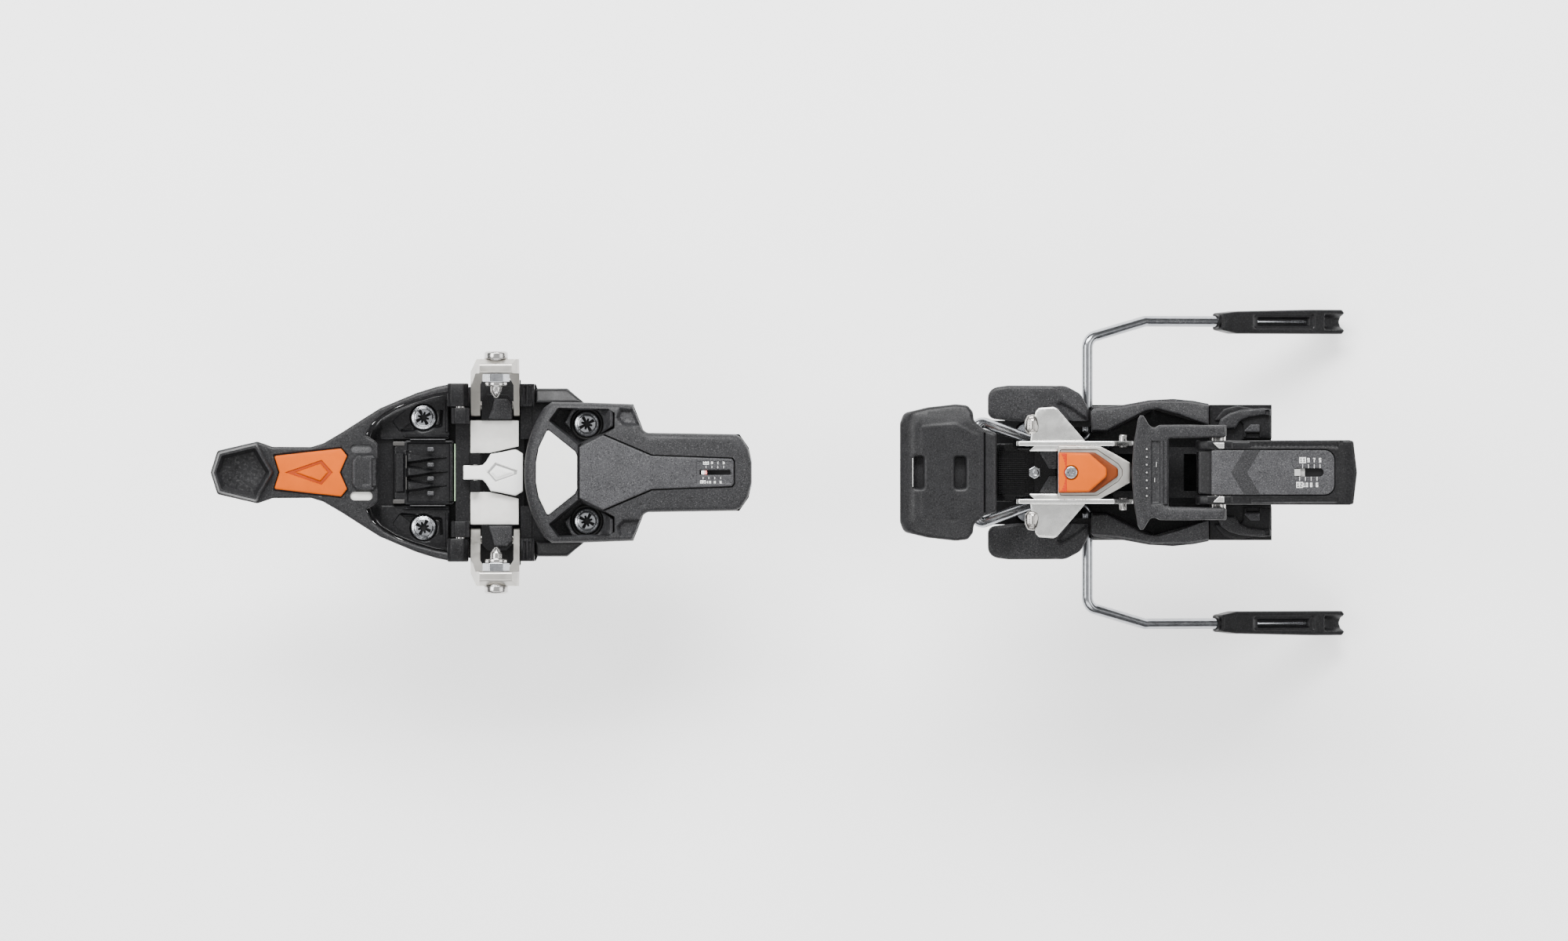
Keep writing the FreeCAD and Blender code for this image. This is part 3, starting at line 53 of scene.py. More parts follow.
def material(name, colour, rough, metal=0.0, speck=0.0, speck_size=0.35, tone=0.12, tone_size=9.0,
             bump=0.02, bump_size=0.5, specular=0.22):
    """Plastic or metal with a mottled tone, fine specks, a surface grain and uneven gloss."""
    mat = bpy.data.materials.new(name)
    mat.use_nodes = True
    tree = mat.node_tree
    shader = tree.nodes["Principled BSDF"]
    shader.inputs["Base Color"].default_value = (*colour, 1)
    shader.inputs["Metallic"].default_value = metal
    shader.inputs["Roughness"].default_value = rough
    if not metal:
        shader.inputs["Specular IOR Level"].default_value = specular
    place = tree.nodes.new("ShaderNodeTexCoord")

    def grain(size_mm, detail, roughness=0.6):
        tex = tree.nodes.new("ShaderNodeTexNoise")
        tex.inputs["Scale"].default_value = 1000.0 / size_mm
        tex.inputs["Detail"].default_value = detail
        tex.inputs["Roughness"].default_value = roughness
        tree.links.new(place.outputs["Object"], tex.inputs["Vector"])
        return tex.outputs["Fac"]

    def remap(value, low, high, to_low, to_high):
        node = tree.nodes.new("ShaderNodeMapRange")
        node.inputs["From Min"].default_value = low
        node.inputs["From Max"].default_value = high
        node.inputs["To Min"].default_value = to_low
        node.inputs["To Max"].default_value = to_high
        tree.links.new(value, node.inputs["Value"])
        return node.outputs["Result"]

    def blend(fac, a, b):
        node = tree.nodes.new("ShaderNodeMix")
        node.data_type = "RGBA"
        for index, item in ((6, a), (7, b)):
            if isinstance(item, tuple):
                node.inputs[index].default_value = (*item, 1)
            else:
                tree.links.new(item, node.inputs[index])
        tree.links.new(fac, node.inputs[0])
        return node.outputs[2]

    dark = tuple(c * (1 - tone) for c in colour)
    light = tuple(min(1, c * (1 + tone)) for c in colour)
    base = blend(remap(grain(tone_size, 3), 0.35, 0.65, 0, 1), dark, light)
    if speck:
        pale = tuple(min(1.0, c + speck) for c in colour)
        base = blend(remap(grain(speck_size, 1, 0.4), 0.56, 0.68, 0, 1), base, pale)
        deep = tuple(c * 0.45 for c in colour)
        base = blend(remap(grain(speck_size * 1.3, 2, 0.5), 0.36, 0.44, 1, 0), base, deep)
    tree.links.new(base, shader.inputs["Base Color"])
    uneven = remap(grain(tone_size * 0.6, 4), 0.3, 0.7, rough * 0.82, min(1, rough * 1.2))
    tree.links.new(uneven, shader.inputs["Roughness"])
    relief = tree.nodes.new("ShaderNodeBump")
    relief.inputs["Strength"].default_value = 1.0
    relief.inputs["Distance"].default_value = bump * MM
    tree.links.new(grain(bump_size, 3, 0.65), relief.inputs["Height"])
    tree.links.new(relief.outputs["Normal"], shader.inputs["Normal"])
    return mat


def brushed(name, colour, rough, along, bump=0.012, scratch=0.35):
    """Metal with fine lines drawn along one axis and faint stains."""
    mat = material(name, colour, rough, metal=1.0, tone=0.06, tone_size=6.0, bump=bump, bump_size=0.9)
    tree = mat.node_tree
    shader = tree.nodes["Principled BSDF"]
    place = tree.nodes.new("ShaderNodeTexCoord")
    stretch = tree.nodes.new("ShaderNodeMapping")
    scale = [1.0, 1.0, 1.0]
    scale[along] = 0.04
    stretch.inputs["Scale"].default_value = scale
    tree.links.new(place.outputs["Object"], stretch.inputs["Vector"])
    lines = tree.nodes.new("ShaderNodeTexNoise")
    lines.inputs["Scale"].default_value = 3500.0
    lines.inputs["Detail"].default_value = 4.0
    tree.links.new(stretch.outputs["Vector"], lines.inputs["Vector"])
    relief = tree.nodes.new("ShaderNodeBump")
    relief.inputs["Strength"].default_value = scratch
    relief.inputs["Distance"].default_value = 0.02 * MM
    tree.links.new(lines.outputs["Fac"], relief.inputs["Height"])
    old = shader.inputs["Normal"].links[0].from_socket
    tree.links.new(old, relief.inputs["Normal"])
    tree.links.new(relief.outputs["Normal"], shader.inputs["Normal"])
    return mat


BLACK = material("black_plastic", (0.0065, 0.0065, 0.0072), 0.38, speck=0.010, speck_size=0.55, bump=0.03,
                 bump_size=0.6)
GLOSS_BLACK = material("gloss_black", (0.0050, 0.0050, 0.0054), 0.24, speck=0.006, bump=0.012, bump_size=1.2)
LEATHER = material("cup_floor", (0.0090, 0.0090, 0.0098), 0.36, speck=0.018, speck_size=0.9, bump=0.10, bump_size=1.6)
CHARCOAL = material("charcoal", (0.0210, 0.0210, 0.0225), 0.46, speck=0.032, speck_size=0.42, bump=0.05, bump_size=0.5)
PANEL = material("panel_grey", (0.044, 0.044, 0.047), 0.46, speck=0.045, speck_size=0.42, bump=0.05, bump_size=0.5)
PAD_BLACK = material("pad_black", (0.0130, 0.0130, 0.0140), 0.40, speck=0.016, speck_size=0.4, bump=0.04,
                     bump_size=0.5)
ORANGE = material("orange", (0.56, 0.092, 0.0004), 0.5, specular=0.1, tone=0.05, bump=0.02, bump_size=0.8)
ORANGE_DEEP = material("orange_deep", (0.42, 0.022, 0.0006), 0.45, tone=0.10, bump=0.02, bump_size=0.8)
# Darker orange for painted shade in the groove of the lever badge's mark.
ORANGE_GROOVE_SHADE = material("orange_groove_shade", (0.30, 0.034, 0.0005), 0.45, tone=0.08, bump=0.02, bump_size=0.8)
ORANGE_BROWN = material("orange_brown", (0.15, 0.030, 0.004), 0.5, tone=0.12, bump=0.02, bump_size=0.8)
LEVER_GREY = material("lever_grey", (0.0150, 0.0150, 0.0160), 0.42, speck=0.020, speck_size=0.45, bump=0.04,
                      bump_size=0.6)
SOFT_GREY = material("soft_grey", (0.060, 0.058, 0.056), 0.30, tone=0.15, bump=0.02)
WHITE = material("white", (0.86, 0.86, 0.84), 0.36, tone=0.02, bump=0.012, bump_size=0.8)
# Grey for painted shade in the groove of the pedal's mark.
MARK_GROOVE_SHADE = material("painted_mark_groove_shade", (0.30, 0.30, 0.295), 0.45, tone=0.04, bump=0.01)
OFF_WHITE = material("off_white", (0.70, 0.69, 0.66), 0.42, tone=0.05, tone_size=4.0, bump=0.02, bump_size=0.7)
LIGHT = material("light_grey", (0.42, 0.42, 0.41), 0.40, tone=0.10, bump=0.02)
RUBBER = material("rubber", (0.0035, 0.0035, 0.0035), 0.62, bump=0.03, bump_size=0.4)
GREEN = material("seal", (0.30, 0.42, 0.27), 0.6, bump=0.03)
FORGED = material("forged", (0.51, 0.495, 0.465), 0.40, metal=1.0, tone=0.06, tone_size=7.0, bump=0.004, bump_size=1.8)
LUG_STEEL = material("lug_steel", (0.30, 0.29, 0.275), 0.26, metal=1.0, tone=0.08, tone_size=4.0, bump=0.004,
                     bump_size=1.2)
BRIGHT = brushed("bright_plate", (0.78, 0.78, 0.76), 0.27, 0)
ZINC = material("zinc", (0.40, 0.41, 0.43), 0.22, metal=1.0, tone=0.12, tone_size=2.2, bump=0.008, bump_size=0.7)
STEEL = brushed("turned_steel", (0.50, 0.49, 0.48), 0.22, 1, bump=0.004, scratch=0.2)
WIRE = material("wire_steel", (0.36, 0.37, 0.39), 0.20, metal=1.0, tone=0.06, tone_size=3.0, bump=0.003, bump_size=0.9)
SPRING = material("spring_steel", (0.30, 0.30, 0.32), 0.3, metal=1.0, tone=0.1, bump=0.02)
INK = material("ink", (0.78, 0.78, 0.77), 0.5, bump=0.005)
RED = material("red_mark", (0.75, 0.03, 0.015), 0.5, bump=0.005)
# Near-black painted shade for the floors of the screw recesses and the scale slots.
RECESS_SHADE = material("painted_recess_shade", (0.0030, 0.0030, 0.0034), 0.5, bump=0.03)
GREY_FILL = material("slot_fill", (0.060, 0.060, 0.062), 0.5, speck=0.03, bump=0.03)


# ---------------------------------------------------------------- outlines and shapes

def flip(points):
    """The mirror image of an outline on the other side of the centre plane."""
    return [(x, -y) for x, y in reversed(points)]


def sided(points, s):
    """An outline drawn for the left side, put on the left (1) or on the right (-1)."""
    return list(points) if s > 0 else flip(points)


def rounded(points, radius, steps=5):
    """The same closed outline with its corners rounded."""
    out = []
    count = len(points)
    radii = radius if isinstance(radius, (list, tuple)) else [radius] * count
    for i in range(count):
        p = Vector(points[i])
        a = Vector(points[i - 1]) - p
        b = Vector(points[(i + 1) % count]) - p
        angle = a.angle(b)
        if radii[i] < 0.01 or angle > math.radians(176):
            out.append(tuple(p))
            continue
        reach = min(radii[i] / math.tan(angle / 2), 0.48 * a.length, 0.48 * b.length)
        r = reach * math.tan(angle / 2)
        start = p + a.normalized() * reach
        end = p + b.normalized() * reach
        centre = p + (a.normalized() + b.normalized()).normalized() * (r / math.sin(angle / 2))
        u, v = start - centre, end - centre
        sweep = u.angle_signed(v)
        for k in range(steps + 1):
            turn = -sweep * k / steps
            c, s = math.cos(turn), math.sin(turn)
            out.append((centre.x + u.x * c - u.y * s, centre.y + u.x * s + u.y * c))
    return out


def moulded(half, radius):
    """A symmetric outline from one half, with one corner radius or one for each point of the half."""
    radii = radius if isinstance(radius, list) else [radius] * len(half)
    back = [((x, -y), r) for (x, y), r in zip(reversed(half), reversed(radii)) if abs(y) > 1e-6]
    return rounded(list(half) + [q for q, _ in back], list(radii) + [r for _, r in back])


def ring(cx, cy, radius, steps=36):
    return [(cx + radius * math.cos(2 * math.pi * k / steps), cy + radius * math.sin(2 * math.pi * k / steps))
            for k in range(steps)]


def box2(x0, x1, y0, y1):
    return [(x0, y0), (x1, y0), (x1, y1), (x0, y1)]


def arc_points(first, middle, last, steps=24):
    """Points on the circle through three points."""
    ax, ay = first
    bx, by = middle
    cx, cy = last
    d = 2 * (ax * (by - cy) + bx * (cy - ay) + cx * (ay - by))
    ux = ((ax ** 2 + ay ** 2) * (by - cy) + (bx ** 2 + by ** 2) * (cy - ay) + (cx ** 2 + cy ** 2) * (ay - by)) / d
    uy = ((ax ** 2 + ay ** 2) * (cx - bx) + (bx ** 2 + by ** 2) * (ax - cx) + (cx ** 2 + cy ** 2) * (bx - ax)) / d
    r = math.hypot(ax - ux, ay - uy)
    a0 = math.atan2(ay - uy, ax - ux)
    a1 = math.atan2(cy - uy, cx - ux)
    am = math.atan2(by - uy, bx - ux)
    if not (min(a0, a1) <= am <= max(a0, a1)):
        if a0 < a1:
            a0 += 2 * math.pi
        else:
            a1 += 2 * math.pi
    return [(ux + r * math.cos(a0 + (a1 - a0) * k / steps), uy + r * math.sin(a0 + (a1 - a0) * k / steps))
            for k in range(steps + 1)]


def inside_depth(points, outline):
    """Distance of each point from a closed outline, positive inside it."""
    p = np.asarray(points, float).reshape(-1, 2)
    a = np.asarray(outline, float)
    b = np.roll(a, -1, axis=0)
    real = np.hypot(*(b - a).T) > 1e-6
    a, b = a[real], b[real]
    d = b - a
    span = (d * d).sum(axis=1)
    out = np.empty(len(p))
    for first in range(0, len(p), 4000):
        q = p[first:first + 4000]
        dx = q[:, 0:1] - a[:, 0]
        dy = q[:, 1:2] - a[:, 1]
        t = np.clip((dx * d[:, 0] + dy * d[:, 1]) / span, 0, 1)
        gap = np.hypot(dx - t * d[:, 0], dy - t * d[:, 1]).min(axis=1)
        hits = (a[:, 1] > q[:, 1:2]) != (b[:, 1] > q[:, 1:2])
        rise = np.where(np.abs(d[:, 1]) < 1e-12, 1e-12, d[:, 1])
        left = q[:, 0:1] < a[:, 0] + dy * d[:, 0] / rise
        inside = (hits & left).sum(axis=1) % 2 == 1
        out[first:first + 4000] = np.where(inside, gap, -gap)
    return out


def dense(outline, step):
    """Points along a closed outline, about one step apart."""
    out = []
    for a, b in zip(outline, outline[1:] + outline[:1]):
        count = max(1, int(round(math.dist(a, b) / step)))
        out += [(a[0] + (b[0] - a[0]) * k / count, a[1] + (b[1] - a[1]) * k / count) for k in range(count)]
    return out


def beside(samples, shift):
    """The samples of an outline moved sideways, once to each side."""
    p = np.asarray(samples, float)
    along = np.roll(p, -1, axis=0) - np.roll(p, 1, axis=0)
    along /= np.maximum(np.linalg.norm(along, axis=1, keepdims=True), 1e-9)
    normal = np.stack([-along[:, 1], along[:, 0]], axis=1)
    return p + normal * shift, p - normal * shift


def smooth(t):
    """A soft ramp from 0 to 1."""
    t = np.clip(t, 0, 1)
    return t * t * (3 - 2 * t)


def level(outline, to, slope=0.6):
    """A step on a relief: the top goes to this height within the outline."""
    return ("to", outline, to, slope)


def step(outline, by, slope=0.6):
    """A step on a relief: the top changes by this height within the outline."""
    return ("by", outline, by, slope)


def value_at(item, x, y):
    """A height given as a number or as a function of the place."""
    return item(x, y) if callable(item) else item


def finish_mesh(name, bm, mat, body):
    """The finished piece, with its material, its shading and the body it moves with."""
    mesh = bpy.data.meshes.new(name)
    bm.to_mesh(mesh)
    bm.free()
    mesh.shade_smooth()
    mesh.set_sharp_from_angle(angle=math.radians(38))
    obj = bpy.data.objects.new(name, mesh)
    bpy.context.collection.objects.link(obj)
    mesh.materials.append(mat)
    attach(obj, body)
    return obj


RIM_SHARES = (0.12, 0.4, 1.0)      # rows of points across a rounded rim
BANK_SHARES = (0.33, 0.67, 1.0)    # rows of points down the side of a step
CLEAR = 0.03                       # mm that a point keeps from the rim
WELD = 1e-5                        # mm within which points are one


def relief(name, outline, low, top, mat, body, steps=(), holes=(), edge=0.6, grid=0.0, fine=0.7, extra=None,
           turn=None):
    """A moulded piece: flat below, with a modelled upper surface and rounded rims."""
    rims = [dense(list(line), fine) for line in (outline, *holes)]
    banks = [dense(list(line), fine) for _, line, _, _ in steps]
    samples = []
    edges = []
    for line in rims + banks:
        first = len(samples)
        samples += line
        edges += [(first + k, first + (k + 1) % len(line)) for k in range(len(line))]
    fixed = len(samples)
    for line in rims:
        for share in RIM_SHARES:
            for row in beside(line, edge * share):
                samples += [tuple(q) for q in row]
    for line, (_, shape, _, slope) in zip(banks, steps):
        for share in BANK_SHARES:
            for row in beside(line, slope * share):
                depth = inside_depth(row, shape)
                samples += [tuple(q) for q, d in zip(row, depth) if d > slope * share * 0.6]
    if grid:
        a = np.asarray(outline)
        xs = np.arange(a[:, 0].min(), a[:, 0].max(), grid)
        ys = np.arange(a[:, 1].min(), a[:, 1].max(), grid)
        mesh_x, mesh_y = np.meshgrid(xs, ys)
        samples += list(zip(mesh_x.ravel() + 0.013, mesh_y.ravel() + 0.017))
    p = np.asarray(samples, float)
    keep = inside_depth(p, outline) > CLEAR
    for hole in holes:
        keep &= inside_depth(p, hole) < -CLEAR
    keep[:fixed] = True
    index = np.cumsum(keep) - 1
    p = p[keep]
    links = [(int(index[a]), int(index[b])) for a, b in edges]
    verts, _, faces, _, _, _ = delaunay_2d_cdt([Vector(q) for q in p], links, [], 0, WELD)
    xy = np.array([(v.x, v.y) for v in verts])
    tri = np.array([f for f in faces if len(f) == 3])
    middle = xy[tri].mean(axis=1)
    good = inside_depth(middle, outline) > 1e-4
    for hole in holes:
        good &= inside_depth(middle, hole) < -1e-4
    tri = tri[good]
    x, y = xy[:, 0], xy[:, 1]
    z = np.zeros(len(xy)) + value_at(top, x, y)
    for kind, line, amount, slope in steps:
        share = smooth((inside_depth(xy, line) + 1e-6) / slope)
        amount = value_at(amount, x, y)
        z = z + amount * share if kind == "by" else z * (1 - share) + amount * share
    if extra:
        z = z + extra(x, y)
    rim = inside_depth(xy, outline)
    for hole in holes:
        rim = np.minimum(rim, -inside_depth(xy, hole))
    near = np.clip(1 - rim / edge, 0, 1)
    z = z - edge * (1 - np.sqrt(np.clip(1 - near * near, 0, 1)))
    bm = bmesh.new()
    upper = [bm.verts.new((px * MM, py * MM, pz * MM)) for px, py, pz in zip(x, y, z)]
    used = {}
    for a, b, c in tri:
        area = (xy[b][0] - xy[a][0]) * (xy[c][1] - xy[a][1]) - (xy[b][1] - xy[a][1]) * (xy[c][0] - xy[a][0])
        if abs(area) < 1e-9:
            continue
        order = (a, b, c) if area > 0 else (a, c, b)
        bm.faces.new([upper[k] for k in order])
        for k in range(3):
            used[(order[k], order[(k + 1) % 3])] = True
    border = [(a, b) for a, b in used if (b, a) not in used]
    lower = {}
    for a, b in border:
        for k in (a, b):
            if k not in lower:
                floor = value_at(low, x[k], y[k])
                lower[k] = bm.verts.new((x[k] * MM, y[k] * MM, floor * MM))
        bm.faces.new([upper[b], upper[a], lower[a], lower[b]])
    ground = sorted(lower)
    back = {k: i for i, k in enumerate(ground)}
    verts2, _, faces2, origin, _, _ = delaunay_2d_cdt(
        [Vector(xy[k]) for k in ground], [(back[a], back[b]) for a, b in border], [], 0, WELD)
    base = [lower[ground[o[0]]] if o else None for o in origin]
    middles = np.array([np.mean([(verts2[k].x, verts2[k].y) for k in f], axis=0) for f in faces2])
    within = inside_depth(middles, outline) > 0
    for hole in holes:
        within &= inside_depth(middles, hole) < 0
    for f, wanted in zip(faces2, within):
        if not wanted:
            continue
        corners = [base[k] for k in f]
        if None in corners or len(set(corners)) < 3:
            continue
        try:
            bm.faces.new(list(reversed(corners)))
        except ValueError:
            pass
    loose = [v for v in bm.verts if not v.link_faces]
    bmesh.ops.delete(bm, geom=loose, context="VERTS")
    if turn:
        bmesh.ops.transform(bm, matrix=turn, verts=bm.verts)
    bmesh.ops.recalc_face_normals(bm, faces=bm.faces)
    return finish_mesh(name, bm, mat, body)


def prism(name, outline, low, high, mat, body, axis="Z", bevel=0.35, segments=2, turn=None):
    """A straight-sided block on an outline, with rounded edges."""
    bm = bmesh.new()
    spin = {"Z": Matrix.Identity(4),
            "Y": Matrix(((1, 0, 0, 0), (0, 0, 1, 0), (0, 1, 0, 0), (0, 0, 0, 1))),
            "X": Matrix(((0, 0, 1, 0), (1, 0, 0, 0), (0, 1, 0, 0), (0, 0, 0, 1)))}[axis]
    base = [bm.verts.new((x * MM, y * MM, low * MM)) for x, y in outline]
    face = bm.faces.new(base)
    made = bmesh.ops.extrude_face_region(bm, geom=[face])
    moved = [v for v in made["geom"] if isinstance(v, bmesh.types.BMVert)]
    bmesh.ops.translate(bm, verts=moved, vec=(0, 0, (high - low) * MM))
    bmesh.ops.transform(bm, matrix=spin, verts=bm.verts)
    if turn:
        bmesh.ops.transform(bm, matrix=turn, verts=bm.verts)
    bmesh.ops.recalc_face_normals(bm, faces=bm.faces)
    if bevel:
        sharp = [e for e in bm.edges if len(e.link_faces) == 2 and e.calc_face_angle(0) > math.radians(24)]
        bmesh.ops.bevel(bm, geom=sharp, offset=bevel * MM, segments=segments, profile=0.5, affect="EDGES",
                        clamp_overlap=True)
    return finish_mesh(name, bm, mat, body)


def upright(name, outline, near, far, s, mat, body, bevel=0.5):
    """A plate that stands along the object on one side, between two distances from the centre plane."""
    low, high = sorted((s * near, s * far))
    return prism(name, outline, low, high, mat, body, axis="Y", bevel=bevel)


def join(name, objs):
    """One piece out of several meshes that belong together."""
    bm = bmesh.new()
    mats = []
    for o in objs:
        start = len(bm.faces)
        bm.from_mesh(o.data)
        bm.faces.ensure_lookup_table()
        for f in bm.faces[start:]:
            m = o.data.materials[f.material_index]
            if m not in mats:
                mats.append(m)
            f.material_index = mats.index(m)
    keep = objs[0]
    keep.data.materials.clear()
    for m in mats:
        keep.data.materials.append(m)
    bm.to_mesh(keep.data)
    bm.free()
    for o in objs[1:]:
        bpy.data.objects.remove(o)
    keep.name = name
    return keep


def dress(node, mat, bevel=0.25, segments=2):
    """Give a CAD node its finish, with its edges softly rounded."""
    obj = nodes[node]
    obj.data.materials.clear()
    obj.data.materials.append(mat)
    if bevel:
        weld = obj.modifiers.new("weld", "WELD")
        weld.merge_threshold = 0.004 * MM
        flat = obj.modifiers.new("flat", "DECIMATE")
        flat.decimate_type = "DISSOLVE"
        flat.angle_limit = math.radians(1.0)
        soft = obj.modifiers.new("soft", "BEVEL")
        soft.width = bevel * MM
        soft.segments = segments
        soft.limit_method = "ANGLE"
        soft.angle_limit = math.radians(32)
        soft.use_clamp_overlap = True
    return obj


# ---------------------------------------------------------------- toe lever

SIDE = [(-111.4, 8.7), (-95.4, 12.4), (-89.4, 10.3), (-74, 10.2), (-69.1, 11.7), (-61.6, 16.1), (-54.1, 20.9),
        (-46.6, 25.6), (-39.1, 28.8), (-31.6, 31.9), (-24.1, 34.2), (-17.8, 35.5)]
INNER = [(-17.8, 32.1), (-24.1, 31.1), (-31.6, 29.1), (-39.1, 26.4), (-45.0, 23.2), (-49.4, 19.6), (-52.1, 14.8),
         (-48.6, 12.8), (-47.2, 11.3), (-47.2, 6.0)]


def lever_crown(x, y):
    """The lever dips a little along its neck and rises to the cup."""
    return 22.0 - 0.5 * np.exp(-((x + 78) / 14) ** 2) - 0.9 * smooth((np.abs(y) - 26) / 10)


def cup_dish(x, y):
    """The hollow of the lever's cup, below the level round it."""
    return 0.9 * np.exp(-((x + 100) / 7) ** 2 - (y / 6) ** 2)


lever_outline = moulded([(-114.1, 0.0)] + SIDE + INNER, [1.2, 1.6, 2.0, 3.0] + [4.0] * 8
                        + [0.4, 0.4, 5.0, 5.0, 5.0, 4.0, 2.0, 0.8, 1.0, 0.8, 0.6])
cup_rim = moulded([(-113.6, 0.0), (-111.0, 8.2), (-95.5, 11.9), (-88.4, 0.0)], 1.4)
cup_floor = moulded([(-111.9, 0.0), (-109.6, 6.7), (-96.2, 9.9), (-90.4, 0.0)], 1.2)
insert_well = moulded([(-87.2, 0.0), (-89.3, 7.3), (-62.0, 10.3), (-58.9, 7.0), (-61.8, 0.0)], 0.5)
left_slot = rounded(box2(-58.4, -49.4, 7.6, 11.2), 1.7)
right_slot = rounded(box2(-58.4, -49.4, -11.2, -7.6), 1.7)
lever = relief(
    "lever_shell", lever_outline, 17.0, lever_crown, LEVER_GREY, "toe_lever",
    edge=1.1, grid=2.0,
    steps=[
        level(left_slot, 19.6, 0.3),
        level(right_slot, 19.6, 0.3),
        level(cup_rim, lambda x, y: 25.9 - 0.0016 * (x + 101) ** 2, 0.9),
        level(cup_floor, lambda x, y: 21.2 - cup_dish(x, y), 1.5),
        level(insert_well, 20.6, 0.35),
        level(moulded([(-57.0, 0), (-57.0, 5.0), (-55.2, 7.4), (-49.2, 7.4), (-48.6, 6.0)], 0.6), 23.4, 0.7),
        level(rounded(box2(-49.9, -47.6, -5.9, 5.9), 0.4), 24.4, 0.4),
    ])
cup_leather = relief(
    "cup_floor_skin", moulded([(-111.2, 0.0), (-109.2, 6.2), (-96.4, 9.3), (-91.2, 0.0)], 1.2), 20.0,
    lambda x, y: 21.26 - cup_dish(x, y), LEATHER, "toe_lever", edge=0.05, grid=0.8,
    extra=lambda x, y: 0.10 * np.sin(x * 1.9 + y * 0.7) * np.sin(y * 1.6 - x * 0.5)
    + 0.06 * np.sin(x * 3.7 - y * 2.9))
# The dark grey sheet in the left slot is painted shade for the hollow under the lever; the off-white sheet in the
# right slot shows the backdrop seen through the hole.
slot_fill = join("lever_slot_shade_and_backdrop", [prism("slot_fill", left_slot, 19.2, 20.9, GREY_FILL, "toe_lever", bevel=0.2),
                                     prism("slot_fill", right_slot, 19.2, 20.9, OFF_WHITE, "toe_lever", bevel=0.2)])
bridge_line = moulded([(-57.6, 0), (-57.6, 4.6), (-55.6, 6.9), (-49.0, 6.9), (-48.4, 5.6)], 0.6)
bridge_dip = moulded([(-55.8, 0), (-55.8, 3.4), (-54.4, 4.8), (-50.6, 4.8)], 0.4)
lever_bridge = relief("lever_bridge", bridge_line, 21.0, lambda x, y: 23.3 + 0.03 * (x + 57), CHARCOAL, "toe_lever",
                      edge=0.6, grid=1.4, fine=0.5, steps=[step(bridge_dip, -0.5, 0.5)])
eye_line = rounded([(-19.6, 17.0), (-19.6, 21.3), (-18.2, 22.4), (-13.2, 22.4), (-11.3, 19.9), (-11.2, 12.6),
                    (-12.4, 11.6), (-16.6, 11.6)], 0.8)
eyes = [upright("lever_eye", eye_line, 26.3, 35.6, s, BLACK, "toe_lever") for s, _ in SIDES]
lever = join("lever_shell", [lever] + eyes)
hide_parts("toe_lever")

kite = moulded([(-86.6, 0.0), (-88.7, 6.6), (-62.0, 9.6), (-59.6, 6.6), (-62.5, 0.0)], 0.7)
mark = moulded([(-84.7, 0.0), (-69.7, 5.1), (-65.2, 0.0)], 0.15)
inner_mark = moulded([(-80.6, 0.0), (-70.2, 3.7), (-67.0, 0.0)], 0.15)
insert = relief("lever_badge", kite, 19.8, lambda x, y: 22.5 - 0.006 * y * y, ORANGE, "toe_lever", edge=0.5, grid=1.5,
                steps=[step(mark, -0.85, 0.35), step(inner_mark, 0.85, 0.55)])
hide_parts("lever_insert")
# The darker orange in the mark's groove is painted shade.
groove = relief("lever_badge_groove_shade", mark, 20.4, lambda x, y: 21.95 - 0.006 * y * y, ORANGE_GROOVE_SHADE, "toe_lever",
                holes=[inner_mark], edge=0.12, grid=1.5)


# ---------------------------------------------------------------- toe base and front block

wing = rounded([(-51.2, 13.0), (-49.8, 17.4), (-46.2, 21.3), (-40.2, 24.9), (-33.0, 27.7), (-25.0, 30.1),
                (-18.8, 31.2), (-18.8, 13.0)], [1.0, 2.0, 4.0, 6.0, 6.0, 6.0, 1.0, 1.0])
pocket = rounded([(-42.0, 20.6), (-36.5, 24.9), (-30.0, 27.0), (-22.6, 28.2), (-21.2, 26.6), (-21.6, 18.0),
                  (-33.0, 16.4), (-38.6, 16.0)], [1.2, 2.0, 4.0, 1.2, 1.2, 1.2, 2.0, 2.0])
pocket_floor = rounded([(-40.9, 20.5), (-36.2, 24.0), (-30.0, 26.0), (-22.8, 27.2), (-22.2, 26.2), (-22.6, 19.0),
                        (-33.0, 17.4), (-38.2, 17.1)], [1.0, 2.0, 4.0, 1.0, 1.0, 1.2, 2.0, 1.5])
ledge_rib = rounded([(-18.8, 13.9), (-36.5, 13.9), (-38.0, 15.0), (-18.8, 15.0)], 0.3)
ledge_end = rounded([(-20.6, 16.0), (-20.6, 29.4), (-19.2, 29.8), (-19.2, 16.0)], 0.2)
block_bar = rounded(box2(-41.4, -36.8, 10.7, 12.4), 0.3)
